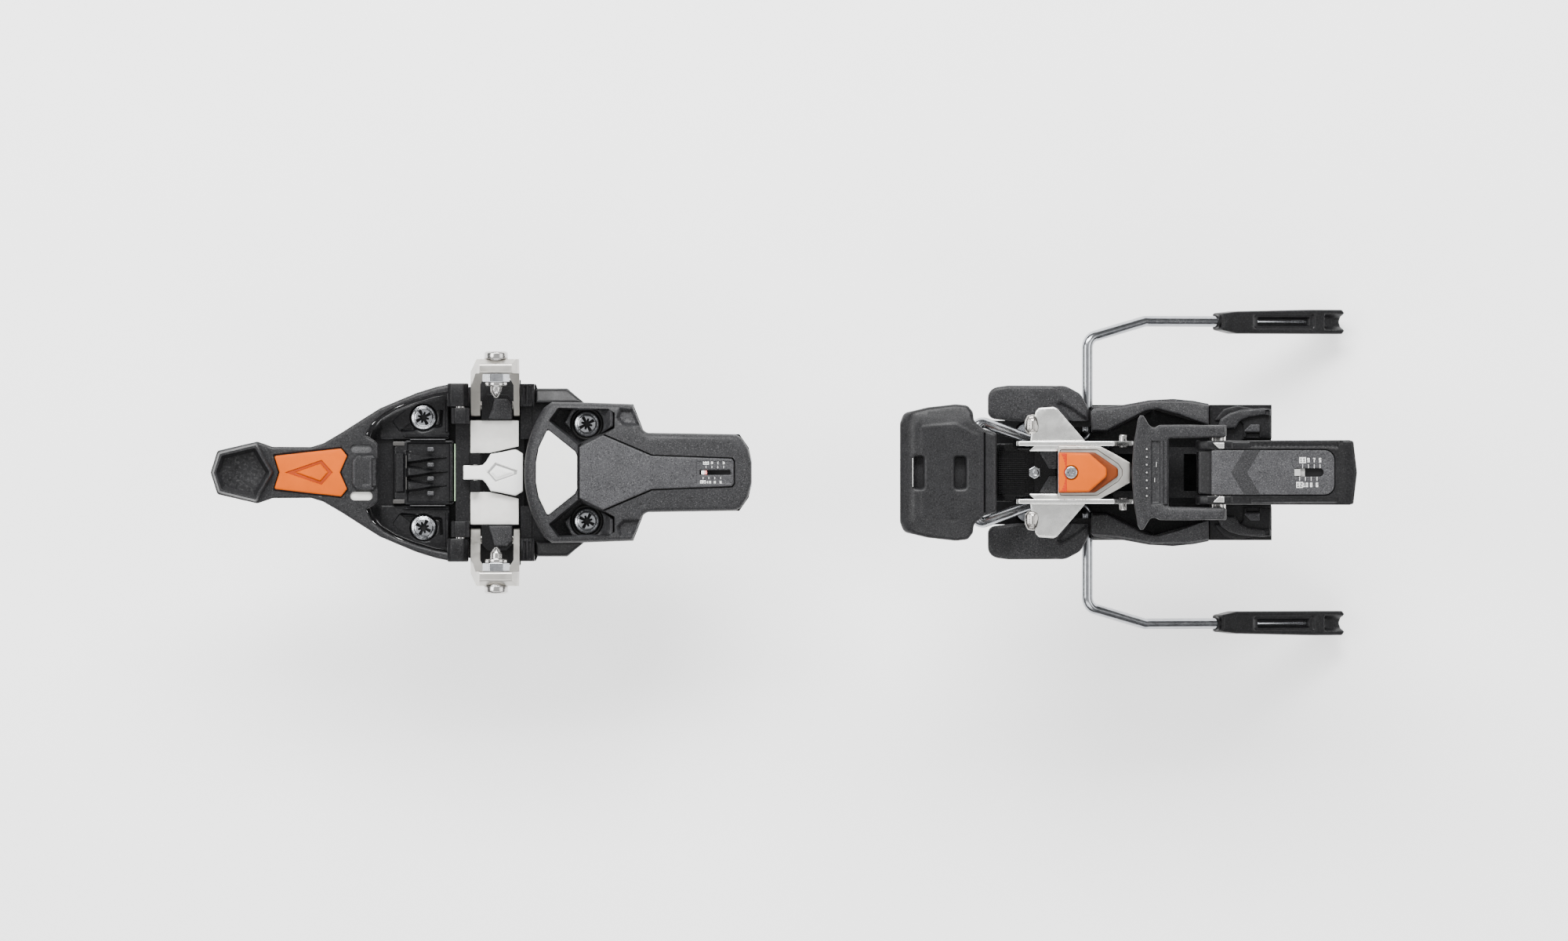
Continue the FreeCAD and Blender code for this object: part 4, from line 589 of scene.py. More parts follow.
# the ear has the guide groove for the carriage cut into its rear face
ear_line = rounded([(-18.0, 5.0), (-11.0, 5.0), (-11.0, 7.5), (-12.8, 7.5), (-12.8, 10.5), (-11.0, 10.5),
                    (-11.0, 20.4), (-12.4, 21.8), (-16.6, 21.8), (-18.0, 20.4)], 0.3)
comb = [(9.5, 5.0), (15.1, 5.0), (15.1, 19.6), (14.2, 20.5), (13.7, 19.3), (12.9, 19.3), (12.6, 20.5), (11.9, 20.5),
        (11.6, 19.3), (10.8, 19.3), (10.4, 20.5), (9.5, 19.8)]
shoulder = rounded([(15.4, 27.6), (15.4, 33.4), (28.1, 33.4), (34.4, 28.4), (34.4, 27.6)], [0.5, 1.5, 2.5, 1.0, 0.3])
front_parts = []
for s, _ in SIDES:
    screw_x, screw_y = FRONT_SCREW[0], s * FRONT_SCREW[1]
    front_parts += [
        relief("screw_ledge", sided(wing, s), 5.0,
               lambda x, y: 10.5 + 1.3 * smooth((x + 48.6) / 2.4) - 0.05 * (np.abs(y) - 13.6),
               BLACK, "ski_side", edge=0.7, grid=1.5, holes=[ring(screw_x, screw_y, 5.45)],
               steps=[step(sided(pocket, s), -2.0, 0.9), step(sided(ledge_rib, s), 0.8, 0.4),
                      step(sided(ledge_end, s), 0.7, 0.4)]),
        relief("ledge_pocket", sided(pocket_floor, s), 6.0, lambda x, y: 9.9 + 0.05 * (x + 32), GLOSS_BLACK,
               "ski_side", edge=0.5, grid=1.5, holes=[ring(screw_x, screw_y, 5.5)]),
        prism("block_corner", sided(block_bar, s), 11.0, 13.7, SOFT_GREY, "ski_side", bevel=0.25),
        prism("block_line", sided(box2(-36.3, -35.95, 1.8, 6.8), s), 12.0, 14.7, SOFT_GREY, "ski_side", bevel=0.0),
        upright("pivot_ear", ear_line, 19.5, 25.8, s, BLACK, "ski_side"),
        upright("rear_knuckle", comb, 26.4, 35.4, s, BLACK, "ski_side", bevel=0.3),
        relief("base_shoulder", sided(shoulder, s), 5.0, lambda x, y: 17.0 - 0.35 * (np.abs(y) - 27.6),
               BLACK, "ski_side", edge=1.0, grid=1.5),
    ]
dress("toe_base", BLACK, 0.3)

block = relief(
    "front_block_body", moulded([(-41.0, 10.4), (-36.0, 12.9), (-17.0, 12.9)], 0.9), 5.0, 13.2, BLACK,
    "ski_side", edge=0.6, grid=1.2,
    steps=[
        level(rounded(box2(-40.4, -36.6, -8.2, 8.2), 0.8), 14.4, 0.8),
        step(rounded(box2(-35.9, -17.6, -12.0, 12.0), 0.6), -1.0, 0.6),
        level(rounded(box2(-19.0, -17.3, -11.8, 11.8), 0.3), 15.0, 0.4),
    ] + [
        step(rounded([(-36.2, y - 2.6), (-31.0, y - 2.0), (-25.0, y - 0.9), (tip, y - 0.2), (tip, y + 0.2),
                      (-25.0, y + 0.9), (-31.0, y + 2.0), (-36.2, y + 2.6)], 0.1), 3.2, 1.0)
        for tip, y in ((-19.9, 5.9), (-19.4, 0.3), (-19.9, -5.3))
    ] + [
        step(rounded(box2(-36.2, -35.0, y - 0.35, y + 0.35), 0.1), 0.6, 0.2) for y in (-8.0, -2.6, 3.0, 8.6)
    ])
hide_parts("front_block")
# The pads between the ribs are grey as a painted highlight for their lit faces.
dress("block_pads", PANEL, 0.5)
dress("guide_tabs", GREY_FILL, 0.05)
dress("seal_strip", GREEN, 0.05)


# ---------------------------------------------------------------- toe carriage, plates, pedal

dress("toe_carriage", GLOSS_BLACK, 0.35)
glide_line = rounded([(-10.5, 7.7), (-2.6, 7.8), (1.0, 8.6), (8.75, 10.4), (8.75, 20.8), (-10.5, 20.8)], 0.35)
for s, label in SIDES:
    plate_piece = relief("glide_plate_" + label, sided(glide_line, s), 12.4, 13.6, OFF_WHITE, "toe_carriage",
                         edge=0.3, grid=2.0, extra=lambda x, y: 0.05 * np.sin(x * 0.55) * np.cos(y * 0.4))
    if s > 0:
        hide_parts("slide_plates")

pedal_line = moulded([(-13.3, 2.85), (-5.6, 2.95), (-4.2, 4.4), (-2.4, 7.4), (2.4, 8.2), (7.5, 9.3), (10.5, 7.6)],
                     [0.4, 0.8, 1.2, 0.8, 2.0, 0.9, 0.9])
pedal_mark = rounded([(-4.1, 0), (-0.6, 4.1), (8.4, 0.9), (8.4, -0.9), (-0.6, -4.1)], 0.3)
pedal_inner = rounded([(-2.6, 0), (-0.1, 2.8), (6.6, 0.5), (6.6, -0.5), (-0.1, -2.8)], 0.3)
pedal_hole = rounded([(-2.9, 0), (-0.2, 3.0), (6.9, 0.6), (6.9, -0.6), (-0.2, -3.0)], 0.3)
pedal = relief("pedal_shell", pedal_line, 14.1, lambda x, y: 17.1 - 0.012 * y * y, WHITE, "step_pedal", edge=0.6,
               grid=1.2, steps=[step(pedal_mark, -0.9, 0.5), step(pedal_inner, 0.7, 0.9)])
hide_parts("step_pedal")
# The grey in the mark's groove is painted shade.
pedal_groove_shade = relief("pedal_mark_groove_shade", pedal_mark, 15.0, lambda x, y: 16.45 - 0.012 * y * y, MARK_GROOVE_SHADE,
                         "step_pedal", holes=[pedal_hole], edge=0.1, grid=1.2)
facet_line = rounded([(-3.4, 21.3), (6.2, 21.3), (6.2, 27.4), (4.2, 29.4), (-1.0, 29.4), (-1.8, 26.0)], 0.5)
for s, label in SIDES:
    facet_top = relief("carriage_facet_" + label, sided(facet_line, s), 12.0,
                       lambda x, y: 16.6 - 0.16 * np.abs(x - 1.4), CHARCOAL, "toe_carriage", edge=0.5, grid=1.4)
dress("pedal_pin", STEEL, 0.1)
dress("yoke_pins", STEEL, 0.3)
for _, label in SIDES:
    dress("yoke_" + label, FORGED, 1.0, 3)
    dress("toe_pin_" + label, STEEL, 0.2)
    dress("pin_nut_" + label, ZINC, 0.4)
dress("lever_pins", STEEL, 0.3)


# ---------------------------------------------------------------- toe housing

front_arc = arc_points((18.9, -25.8), (11.1, 0.0), (18.9, 25.8), 40)
tail = [(22.0, 28.1), (34.7, 27.9), (54.3, 27.2), (55.2, 24.4), (58.8, 15.8), (96.9, 15.2), (100.4, 9.6),
        (101.8, 4.0)]
tail_radii = [1.0, 2.0, 1.2, 2.0, 4.0, 5.0, 5.0, 3.0]
housing_line = rounded(front_arc + tail + flip(tail), [0.3] + [0.0] * 39 + [0.3] + tail_radii + tail_radii[::-1])
toe_window = rounded(box2(81.1, 93.3, -0.9, 0.9), 0.3)


def housing_crown(x, y):
    """Top of the housing: highest in the middle, falling to the sides and the rear end."""
    z = 28.2 - 0.0040 * y * y
    z = z - 4.6 * smooth((x - 62) / 42)
    z = z - 1.1 * smooth((15.5 - (x - 0.010 * y * y)) / 4.0)
    return z


chevron = rounded([(20.8, 20.6), (24.6, 25.9), (44.6, 25.4), (47.2, 23.8), (47.2, 17.6), (42.6, 15.0), (38.0, 12.9),
                   (32.6, 10.7)], 0.6)
plate_seat = moulded([(15.4, 4.0), (16.4, 9.9), (20.4, 17.6), (31.7, 8.7), (32.6, 6.8)], 0.4)
panel_seat = rounded([(32.4, -10.8), (42.5, -15.6), (62.2, -7.2), (94.2, -6.0), (95.2, -4.6), (95.2, 4.6),
                      (94.2, 6.0), (62.2, 7.2), (42.5, 15.6), (32.4, 10.8)], 0.5)
side_scoop = rounded([(49.0, 25.9), (47.6, 21.5), (50.4, 18.6), (58.0, 18.0), (54.6, 25.4)], 0.8)
housing = relief(
    "housing_shell", housing_line, 12.6, housing_crown, CHARCOAL, "ski_side", edge=2.2, grid=1.6, fine=0.6,
    holes=[toe_window],
    steps=[
        level(chevron, 14.4, 1.1),
        level(flip(chevron), 14.4, 1.1),
        step(plate_seat, -1.5, 0.25),
        step(panel_seat, -2.2, 0.25),
        step(side_scoop, -2.2, 1.6),
        step(flip(side_scoop), -2.2, 1.6),
    ])
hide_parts("toe_housing")

ledge_line = rounded([(27.0, 19.7), (30.2, 25.5), (46.6, 25.2), (46.6, 18.4), (42.2, 15.8), (34.2, 12.9)], 0.6)
for s, label in SIDES:
    ledge = relief("well_ledge_" + label, sided(ledge_line, s), 14.3,
                   lambda x, y: 19.6 + 5.6 * smooth((x - 41.6) / 3.6), CHARCOAL,
                   "ski_side", edge=0.7, grid=1.4, holes=[ring(REAR_SCREW[0], s * REAR_SCREW[1], 6.7)])

panel_line = rounded([(33.2, -10.2), (42.5, -14.9), (61.8, -6.7), (93.9, -5.5), (94.7, -4.3), (94.7, 4.3),
                      (93.9, 5.5), (61.8, 6.7), (42.5, 14.9), (33.2, 10.2)], 0.5)


def panel_crown(x, y):
    """Faceted panel that follows the housing, a little proud of it."""
    return housing_crown(x, 0 * y) + 0.75 - 0.035 * np.abs(y) - 0.35 * smooth((x - 61) / 2.5)


panel = relief("top_panel", panel_line, 21.0, panel_crown, PANEL, "ski_side", edge=0.55, grid=1.4, fine=0.5,
               holes=[toe_window],
               steps=[step(rounded(box2(79.6, 94.0, -4.6, 4.6), 0.5), -0.25, 0.3)])
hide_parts("housing_panel")

badge_line = moulded([(15.8, 4.0), (16.9, 9.9), (20.4, 17.2), (31.4, 8.4), (32.2, 6.7)], 0.8)
badge = relief("blank_badge", badge_line, 25.4, lambda x, y: housing_crown(x, y) + 0.12, WHITE, "ski_side", edge=0.35,
               grid=1.2, fine=0.5)
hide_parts("blank_plate")
dress("seat_rings", RUBBER, 0.3)
dress("toe_adjuster", ZINC, 0.3)
dress("toe_indicator", LIGHT, 0.1)
for hidden, mat in (("release_rocker", FORGED), ("rocker_pin", STEEL), ("release_plunger", STEEL),
                    ("toe_spring", SPRING), ("heel_spring", SPRING), ("brake_spring", SPRING), ("length_screw", ZINC)):
    dress(hidden, mat, 0.0)


# ---------------------------------------------------------------- screws

def screw_head(name, x, y, seat, spin):
    """A pan head with a cross recess and the four small notches between its arms."""
    radius, top = 5.2, seat + 2.9
    root, half = 1.35, math.radians(22.5)
    cross = []
    for k in range(8):
        turn = math.radians(45 * k) + spin
        reach, width = ((3.3, 0.72), (2.3, 0.34))[k % 2]
        c, s = math.cos(turn), math.sin(turn)
        cross.append((x + (reach * c + width * s), y + (reach * s - width * c)))
        cross.append((x + (reach * c - width * s), y + (reach * s + width * c)))
        cross.append((x + root * math.cos(turn + half), y + root * math.sin(turn + half)))
    head = relief(name, ring(x, y, radius, 64), seat, lambda px, py: top - 0.016 * ((px - x) ** 2 + (py - y) ** 2),
                  ZINC, "ski_side", edge=0.7, grid=0.8, fine=0.35,
                  steps=[level(cross, top - 1.9, 0.35), step(ring(x, y, radius * 0.74, 48), 0.25, 0.35)])
    # The near-black floor in the cross recess is painted shade.
    deep = [(x + 0.93 * (a - x), y + 0.93 * (b - y)) for a, b in cross]
    recess_shade = prism("recess_painted_shade", deep, seat + 0.4, top - 1.5, RECESS_SHADE, "ski_side", bevel=0.0)
    head = join(name, [head, recess_shade])
    return head


for node, (x, half_gap), seat in (("toe_screws_front", FRONT_SCREW, 7.6), ("toe_screws_rear", REAR_SCREW, 14.4)):
    heads = []
    for i, y in enumerate((half_gap, -half_gap)):
        head = screw_head(node + "_head", x, y, seat, 0.5 + 0.6 * i)
        shank = prism("shank", ring(x, y, 2.7, 32), -8.9, seat, ZINC, "ski_side", bevel=0.0)
        for k in range(6):
            z = -8.0 + 1.15 * k
            heads.append(prism("thread", ring(x, y, 2.75, 32), z, z + 0.3, ZINC, "ski_side", bevel=0.0))
        heads += [head, shank]
    both = join(node + "_steel", heads)
    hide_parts(node)
dress("heel_screws_front", ZINC, 0.2)
dress("heel_screws_rear", ZINC, 0.2)


# ---------------------------------------------------------------- brake pad, arms and tips

def pad_crown(x, y):
    """The pad's tread: a rolled front edge, sides that fall away and a lower rear flap."""
    z = 50.9 - 3.4 * smooth((168.0 - x) / 7.2) ** 1.3
    z = z - 1.5 * smooth((np.abs(y) - 18.6) / 8.5)
    return z - 1.3 * smooth((x - 194.0) / 0.7)


pad_line = moulded([(160.8, 19.6), (162.3, 23.7), (172.0, 26.0), (183.0, 27.2), (187.9, 26.7), (189.9, 24.0),
                    (190.3, 20.6), (194.1, 17.4), (199.4, 15.6)], [3.0, 3.0, 8.0, 8.0, 2.5, 2.0, 2.5, 3.0, 1.0])
pad_plateau = moulded([(168.4, 19.2), (183.0, 20.4), (193.2, 15.4)], 2.0)
pad_slots = [rounded(box2(166.6, 170.1, -6.2, 6.2), 0.6), rounded(box2(182.7, 186.9, -6.2, 6.2), 0.9)]
pad_skin = relief(
    "pad_shell", pad_line, lambda x, y: pad_crown(x, y) - 2.6, pad_crown, PAD_BLACK, "brake_pad", holes=pad_slots,
    edge=1.5, grid=1.6, fine=0.6,
    steps=[
        step(pad_plateau, 0.35, 1.6),
        step(rounded(box2(194.1, 194.9, -15.9, 15.9), 0.1), -0.9, 0.3),
        step(rounded(box2(165.5, 166.4, -6.3, 6.3), 0.2), 0.3, 0.3),
    ])
core_line = moulded([(161.8, 19.0), (163.2, 22.8), (183.0, 26.2), (187.4, 25.6), (187.6, 14.2), (198.6, 14.2)], 0.6)
pad_core = prism("pad_core", core_line, 42.7, 46.4, PAD_BLACK, "brake_pad", bevel=0.6)
# A thin light-grey strip along the front slot's rim: painted highlight.
pad_slot_highlight = prism("pad_slot_highlight", box2(165.75, 166.12, -5.7, 5.7), 50.2, 51.35, LIGHT, "brake_pad", bevel=0.05)
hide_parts("brake_pad")


def bend(points, radii):
    """The centre line of a wire: straight runs joined by round bends."""
    path = [Vector(points[0])]
    for a, b, c, radius in zip(points, points[1:], points[2:], radii):
        corner = Vector(b)
        back = (Vector(a) - corner).normalized()
        ahead = (Vector(c) - corner).normalized()
        half = back.angle(ahead) / 2
        centre = corner + (back + ahead).normalized() * (radius / math.sin(half))
        first = (corner + back * (radius / math.tan(half)) - centre).normalized()
        last = (corner + ahead * (radius / math.tan(half)) - centre).normalized()
        whole = first.angle(last)
        for k in range(11):
            t = k / 10
            spoke = (first * math.sin((1 - t) * whole) + last * math.sin(t * whole)) / math.sin(whole)
            path.append(centre + spoke * radius)
    path.append(Vector(points[-1]))
    return path


def rod(name, path, radius, mat, body, sides=24):
    """A round rod swept along a line, with flat ends."""
    bm = bmesh.new()
    across = (path[1] - path[0]).orthogonal().normalized()
    rings = []
    for k, point in enumerate(path):
        along = (path[min(k + 1, len(path) - 1)] - path[max(k - 1, 0)]).normalized()
        across = (across - along * across.dot(along)).normalized()
        up = along.cross(across)
        rings.append([bm.verts.new((point + (across * math.cos(2 * math.pi * n / sides)
                                             + up * math.sin(2 * math.pi * n / sides)) * radius) * MM)
                      for n in range(sides)])
    for one, two in zip(rings, rings[1:]):
        for n in range(sides):
            bm.faces.new([one[n], one[(n + 1) % sides], two[(n + 1) % sides], two[n]])
    bm.faces.new(rings[0])
    bm.faces.new(list(reversed(rings[-1])))
    bmesh.ops.recalc_face_normals(bm, faces=bm.faces)
    return finish_mesh(name, bm, mat, body)


def wire_low(x, y):
    """A point of the wire behind its axis, where the arms hang below the ski's surface."""
    return (x, y, BRAKE_Z - (x - BRAKE_X) * math.tan(BRAKE_DROP))


def wire_high(x, y):
    """A point of the wire in front of its axis, where it climbs to the pad."""
    return (x, y, BRAKE_Z + (BRAKE_X - x) / 45.3 * 35.0)


wire_half = [wire_high(190.5, 21.1), wire_high(211.6, 13.6), (BRAKE_X, 13.0, BRAKE_Z), (BRAKE_X, 53.6, BRAKE_Z),
             wire_low(259.0, BRAKE_TIP_Y), wire_low(298.5, BRAKE_TIP_Y)]
wire_points = [(x, -y, z) for x, y, z in wire_half][::-1] + wire_half
wire_radii = [4.0, 5.0, 4.0, 9.0, 4.0, 4.0, 9.0, 4.0, 5.0, 4.0]
wire = rod("brake_rod", bend(wire_points, wire_radii), 2.2, WIRE, "brake_arms")
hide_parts("brake_wire")
lowered = Matrix.Translation((BRAKE_X * MM, 0, BRAKE_Z * MM)) @ Matrix.Rotation(BRAKE_DROP, 4, "Y")
blade_line = [(64.3, 57.4), (65.2, 56.9), (72.0, 55.6), (124.0, 55.6), (125.2, 56.8), (124.6, 58.6), (124.1, 60.5),
              (124.6, 62.4), (125.2, 64.2), (124.0, 65.4), (110.0, 65.4), (72.0, 64.6), (65.2, 63.9), (64.3, 63.4)]
for s, label in SIDES:
    tip_y = s * BRAKE_TIP_Y
    trough = rounded(box2(82.0, 108.0, tip_y - 1.9, tip_y + 1.9), 0.8)
    rim = rounded(box2(79.8, 110.2, tip_y - 3.2, tip_y + 3.2), 1.4)
    spoon = rounded(box2(114.5, 126.0, tip_y - 3.6, tip_y + 3.6), 1.5)
    tip = relief("brake_blade_" + label, rounded(sided(blade_line, s), 0.8, 3), -3.4, 3.3, BLACK, "brake_arms",
                 edge=0.9, grid=1.6, fine=0.5, turn=lowered,
                 steps=[step(rim, -0.5, 0.5), step(trough, -1.9, 0.8), step(spoon, -2.2, 2.0)])
    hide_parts("brake_tip_" + label)
    sleeve = rod("tip_sleeve_" + label, [Vector(wire_low(x, tip_y)) for x in (287.4, 288.4, 291.0)], 2.75, BLACK,
                 "brake_arms")
    bar = prism("tip_bar_" + label, rounded(box2(82.6, 107.4, tip_y - 0.75, tip_y + 0.75), 0.6), 0.2, 1.9, WIRE,
                "brake_arms", bevel=0.5, segments=3, turn=lowered)


# ---------------------------------------------------------------- heel base, deck and fairings

dress("heel_base", BLACK, 0.3)
shoe_line = rounded([(195.4, 16.6), (195.4, 19.6), (197.4, 20.8), (203.6, 20.8), (203.6, 16.6)], 0.4)
for s, label in SIDES:
    shoe = prism("base_shoe_" + label, sided(shoe_line, s), 0.05, 5.8, BLACK, "ski_side", bevel=0.4)
dress("heel_block", BLACK, 0.4)
dress("jaw_axle", STEEL, 0.4)
dress("rear_axle", STEEL, 0.4)

wing_line = rounded([(196.0, 21.6), (196.0, 33.6), (204.0, 34.7), (227.0, 34.6), (233.0, 31.4), (236.2, 25.4),
                     (236.2, 20.4), (207.0, 20.3)], [3.0, 4.5, 6.0, 7.0, 5.0, 4.0, 0.8, 3.0])
crease = rounded([(219.0, 36.0), (226.5, 29.8), (236.6, 20.6), (240.0, 20.0), (240.0, 36.0)], 1.0)
gully = rounded([(222.6, 27.2), (225.0, 28.8), (229.4, 26.6), (236.4, 21.8), (236.4, 19.5), (229.0, 19.5)], 1.0)
fin_line = rounded([(237.4, 16.6), (236.8, 24.0), (238.4, 25.6), (249.0, 26.8), (260.5, 28.9), (270.0, 29.4),
                    (278.0, 28.6), (284.2, 27.4), (284.2, 18.8), (272.0, 23.2), (263.6, 25.4), (259.0, 24.6),
                    (243.4, 16.6)], [0.6, 1.5, 2.0, 6.0, 8.0, 8.0, 8.0, 0.7, 0.3, 6.0, 4.0, 4.0, 0.5])
fin_ledge = rounded([(236.0, 24.2), (249.0, 25.4), (262.0, 27.8), (276.0, 27.6), (284.6, 26.2), (284.6, 31.0),
                     (236.0, 31.0)], 1.0)
fin_foot = [(262.4, 25.0), (265.0, 28.9), (276.0, 28.6), (284.2, 27.0), (284.2, 18.6)]
corner_line = rounded([(286.0, 20.6), (290.0, 25.4), (295.4, 26.8), (302.0, 25.6), (308.6, 25.2), (309.0, 13.8),
                       (297.9, 13.8), (297.9, 20.0)], [0.5, 2.0, 2.0, 2.0, 0.8, 0.5, 0.5, 2.0])
corner_dip = rounded(box2(299.0, 304.4, 13.8, 15.8), 0.2)
arch_line = rounded([(287.4, 17.4), (288.6, 21.2), (292.2, 23.6), (296.6, 24.9), (305.4, 25.7), (308.8, 25.4),
                     (308.8, 22.4), (305.8, 22.9), (300.0, 22.0), (296.6, 20.6), (294.6, 17.6)],
                    [0.6, 2.0, 3.0, 4.0, 3.0, 0.6, 0.6, 2.0, 3.0, 3.0, 0.6])
arch_dip = rounded(box2(306.6, 308.2, 23.0, 25.0), 0.3)
gusset_line = rounded([(297.8, 16.2), (300.8, 19.2), (304.4, 19.2), (304.4, 16.2)], [0.4, 0.8, 0.5, 0.3])
deck_line = rounded([(237.4, 15.8), (237.4, 26.4), (249.0, 26.6), (262.0, 26.6), (262.0, 24.6), (243.6, 15.8)], 0.8)
for s, label in SIDES:
    wing_piece = relief("wing_" + label, sided(wing_line, s), 19.7, lambda x, y: 25.4 - 0.0016 * (x - 214) ** 2,
                        CHARCOAL, "heel_carriage", edge=1.4, grid=1.7, fine=0.6,
                        steps=[step(sided(crease, s), -0.9, 2.2), step(sided(gully, s), -1.7, 1.8)])
    fin = relief("fin_" + label, sided(fin_line, s), 19.7, lambda x, y: 27.2 - 0.16 * np.clip(np.abs(y) - 21, 0, 9),
                 CHARCOAL, "heel_carriage", edge=0.75, grid=1.7, fine=0.5,
                 steps=[step(sided(fin_ledge, s), -1.1, 0.8)])
    fin_base = prism("fin_base_" + label, sided(fin_foot, s), 9.05, 20.4, BLACK, "heel_carriage", bevel=0.3)
    if s > 0:
        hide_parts("heel_wings")
        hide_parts("heel_fins")
    # ribs and facets on the block behind the fairings
    corner_piece = relief("rear_corner_" + label, sided(corner_line, s), 23.8,
                          lambda x, y: 25.0 - 0.05 * np.clip(np.abs(y) - 18, 0, 9), BLACK, "heel_carriage", edge=0.5,
                          grid=1.5, fine=0.5, steps=[step(sided(corner_dip, s), -1.2, 0.4)])
    arch_piece = relief("rear_arch_" + label, sided(arch_line, s), 23.8, lambda x, y: 27.0 - 0.02 * (x - 290),
                        CHARCOAL, "heel_carriage", edge=0.7, grid=1.4, fine=0.5,
                        steps=[step(sided(arch_dip, s), -0.8, 0.3)])
    gusset_piece = relief("rear_gusset_" + label, sided(gusset_line, s), 23.8,
                          lambda x, y: 25.9 + 0.10 * (np.abs(y) - 17), PANEL, "heel_carriage", edge=0.3, grid=1.2,
                          fine=0.5)
    side_step = prism("deck_step_" + label, sided(deck_line, s), 8.9, 17.5, BLACK, "heel_carriage", bevel=0.6)


# ---------------------------------------------------------------- ribbed front plate, stud

plate_line = moulded([(195.6, 11.5), (206.0, 11.5), (207.6, 9.5), (223.6, 9.5)], 0.4)
flap_marks = [step(box2(199.3 + 0.78 * k, 199.65 + 0.78 * k, -9.0, 9.0), -0.45, 0.12) for k in range(20)]
ribbed = relief("ribbed_plate", plate_line, 26.5,
                lambda x, y: 29.5 - 1.0 * smooth((201.5 - x + 0.01 * y * y) / 3.5), GLOSS_BLACK,
                "heel_carriage", edge=0.4, grid=1.6, fine=0.6, steps=flap_marks)
rows = []
for k in range(21):
    y = -8.2 + 0.82 * k
    end = 210.6 + 0.9 * (abs(y) < 3.4) + 0.7 * (abs(y) < 1.8)
    rows.append(prism("plate_row", box2(200.2, end, y - 0.14, y + 0.14), 29.0, 29.75, BLACK, "heel_carriage",
                      bevel=0.0))
foot = prism("plate_foot", box2(224.0, 227.8, -9.4, 9.4), 9.1, 29.0, BLACK, "heel_carriage", bevel=0.4)
front_face = join("ribbed_plate", [ribbed, foot] + rows)
tri = rounded([(216.2, 8.3), (223.5, 8.4), (223.5, 1.4), (220.4, 1.4)], 0.7)
facets = [relief("plate_facet_" + label, sided(tri, s), 29.0, lambda x, y: 31.3 + 0.05 * (x - 219), PANEL,
                 "heel_carriage", edge=0.4, grid=1.2, fine=0.5) for s, label in SIDES]
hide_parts("front_plate")
dress("front_stud", ZINC, 0.25)


# ---------------------------------------------------------------- heel jaw

bar_line = rounded([(207.2, 44.0), (207.2, 49.2), (208.2, 50.0), (246.0, 50.0), (254.0, 45.2), (254.0, 38.4),
                    (250.5, 35.2), (214.0, 36.6)], [1.5, 0.8, 0.8, 2.5, 2.5, 2.5, 1.0, 2.0])
cheek_line = rounded([(212.7, 12.3), (213.2, 17.0), (214.9, 24.4), (216.2, 25.7), (222.0, 26.1), (223.4, 25.4),
                      (234.6, 12.5)], [0.3, 1.0, 1.2, 1.0, 1.2, 1.2, 0.2])
cap_line = rounded([(212.0, 8.4), (223.6, 8.4), (223.6, 12.3), (213.6, 12.3), (214.6, 10.8)],
                   [0.3, 0.2, 0.2, 0.4, 0.6])
jaw_parts = []
for s, _ in SIDES:
    jaw_parts += [
        upright("jaw_bar", bar_line, 10.55, 12.45, s, BRIGHT, "heel_jaw", bevel=0.3),
        relief("jaw_cheek", sided(cheek_line, s), 44.0, lambda x, y: 47.0 - 0.05 * np.clip(np.abs(y) - 14, 0, 14),
               BRIGHT, "heel_jaw", edge=0.5, grid=1.6, fine=0.6),
        relief("jaw_cap", sided(cap_line, s), 48.0, lambda x, y: 49.9 - 0.03 * (11.5 - np.abs(y)) ** 2, BRIGHT,
               "heel_jaw", edge=0.25, grid=1.4, fine=0.6),
    ]
neck = moulded([(223.7, 10.6), (240.6, 10.4), (246.0, 7.6), (252.4, 3.9)], [0.2, 2.0, 4.0, 0.6])
neck_dip = moulded([(224.4, 9.2), (239.4, 9.2), (247.8, 3.6), (249.4, 1.2)], 0.8)
jaw_parts.append(relief("jaw_plate", neck, 48.0, 49.9, FORGED, "heel_jaw", edge=0.3, grid=1.6, fine=0.6,
                        steps=[step(neck_dip, -0.5, 0.3)]))
jaw_all = join("jaw_frame", jaw_parts)
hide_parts("heel_jaw")
lug_line = rounded([(210.5, 16.6), (212.2, 14.9), (216.4, 15.4), (217.0, 18.2), (215.6, 21.8), (214.2, 23.2),
                    (211.6, 22.8), (210.6, 20.8)], [1.0, 0.9, 1.0, 1.4, 1.4, 1.2, 1.2, 1.2])
lug_ridge = rounded(box2(212.6, 214.8, 16.4, 21.4), 0.8)
pads = [relief("jaw_lug", sided(lug_line, s), 36.6,
               lambda x, y: 47.6 - 0.10 * (x - 213.4) ** 2 - 0.02 * (np.abs(y) - 19) ** 2,
               LUG_STEEL, "heel_jaw", edge=1.3, grid=0.9, fine=0.4, steps=[step(sided(lug_ridge, s), 0.35, 0.9)])
        for s, _ in SIDES]
lugs = join("jaw_lug_pair", pads)
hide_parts("jaw_lugs")

skirt_line = moulded([(223.9, 8.2), (238.4, 8.0), (247.6, 1.6)], [0.3, 2.5, 1.6])
top_line = moulded([(223.9, 7.9), (236.0, 7.7), (243.0, 1.6)], [0.3, 2.0, 1.8])
skirt = relief("orange_skirt", skirt_line, 50.0, 51.6, ORANGE_BROWN, "heel_jaw", edge=0.8, grid=1.6, fine=0.5)
crown = relief("orange_insert", top_line, 50.4, lambda x, y: 53.9 - 0.004 * y * y, ORANGE, "heel_jaw", edge=0.8,
               grid=1.4, fine=0.5, steps=[level(ring(JAW_SCREW_X, 0.0, 3.0, 40), 52.7, 0.5)])
band = relief("orange_band", rounded(box2(223.85, 227.2, -7.6, 7.6), 0.25), 52.0,
              lambda x, y: 53.95 - 0.12 * (227.2 - x), ORANGE_DEEP, "heel_jaw", edge=0.25, grid=1.2, fine=0.5,
              steps=[step(box2(223.9, 226.8, -7.2 + 1.1 * k, -6.9 + 1.1 * k), -0.12, 0.1) for k in range(14)])
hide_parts("jaw_insert")
star = []
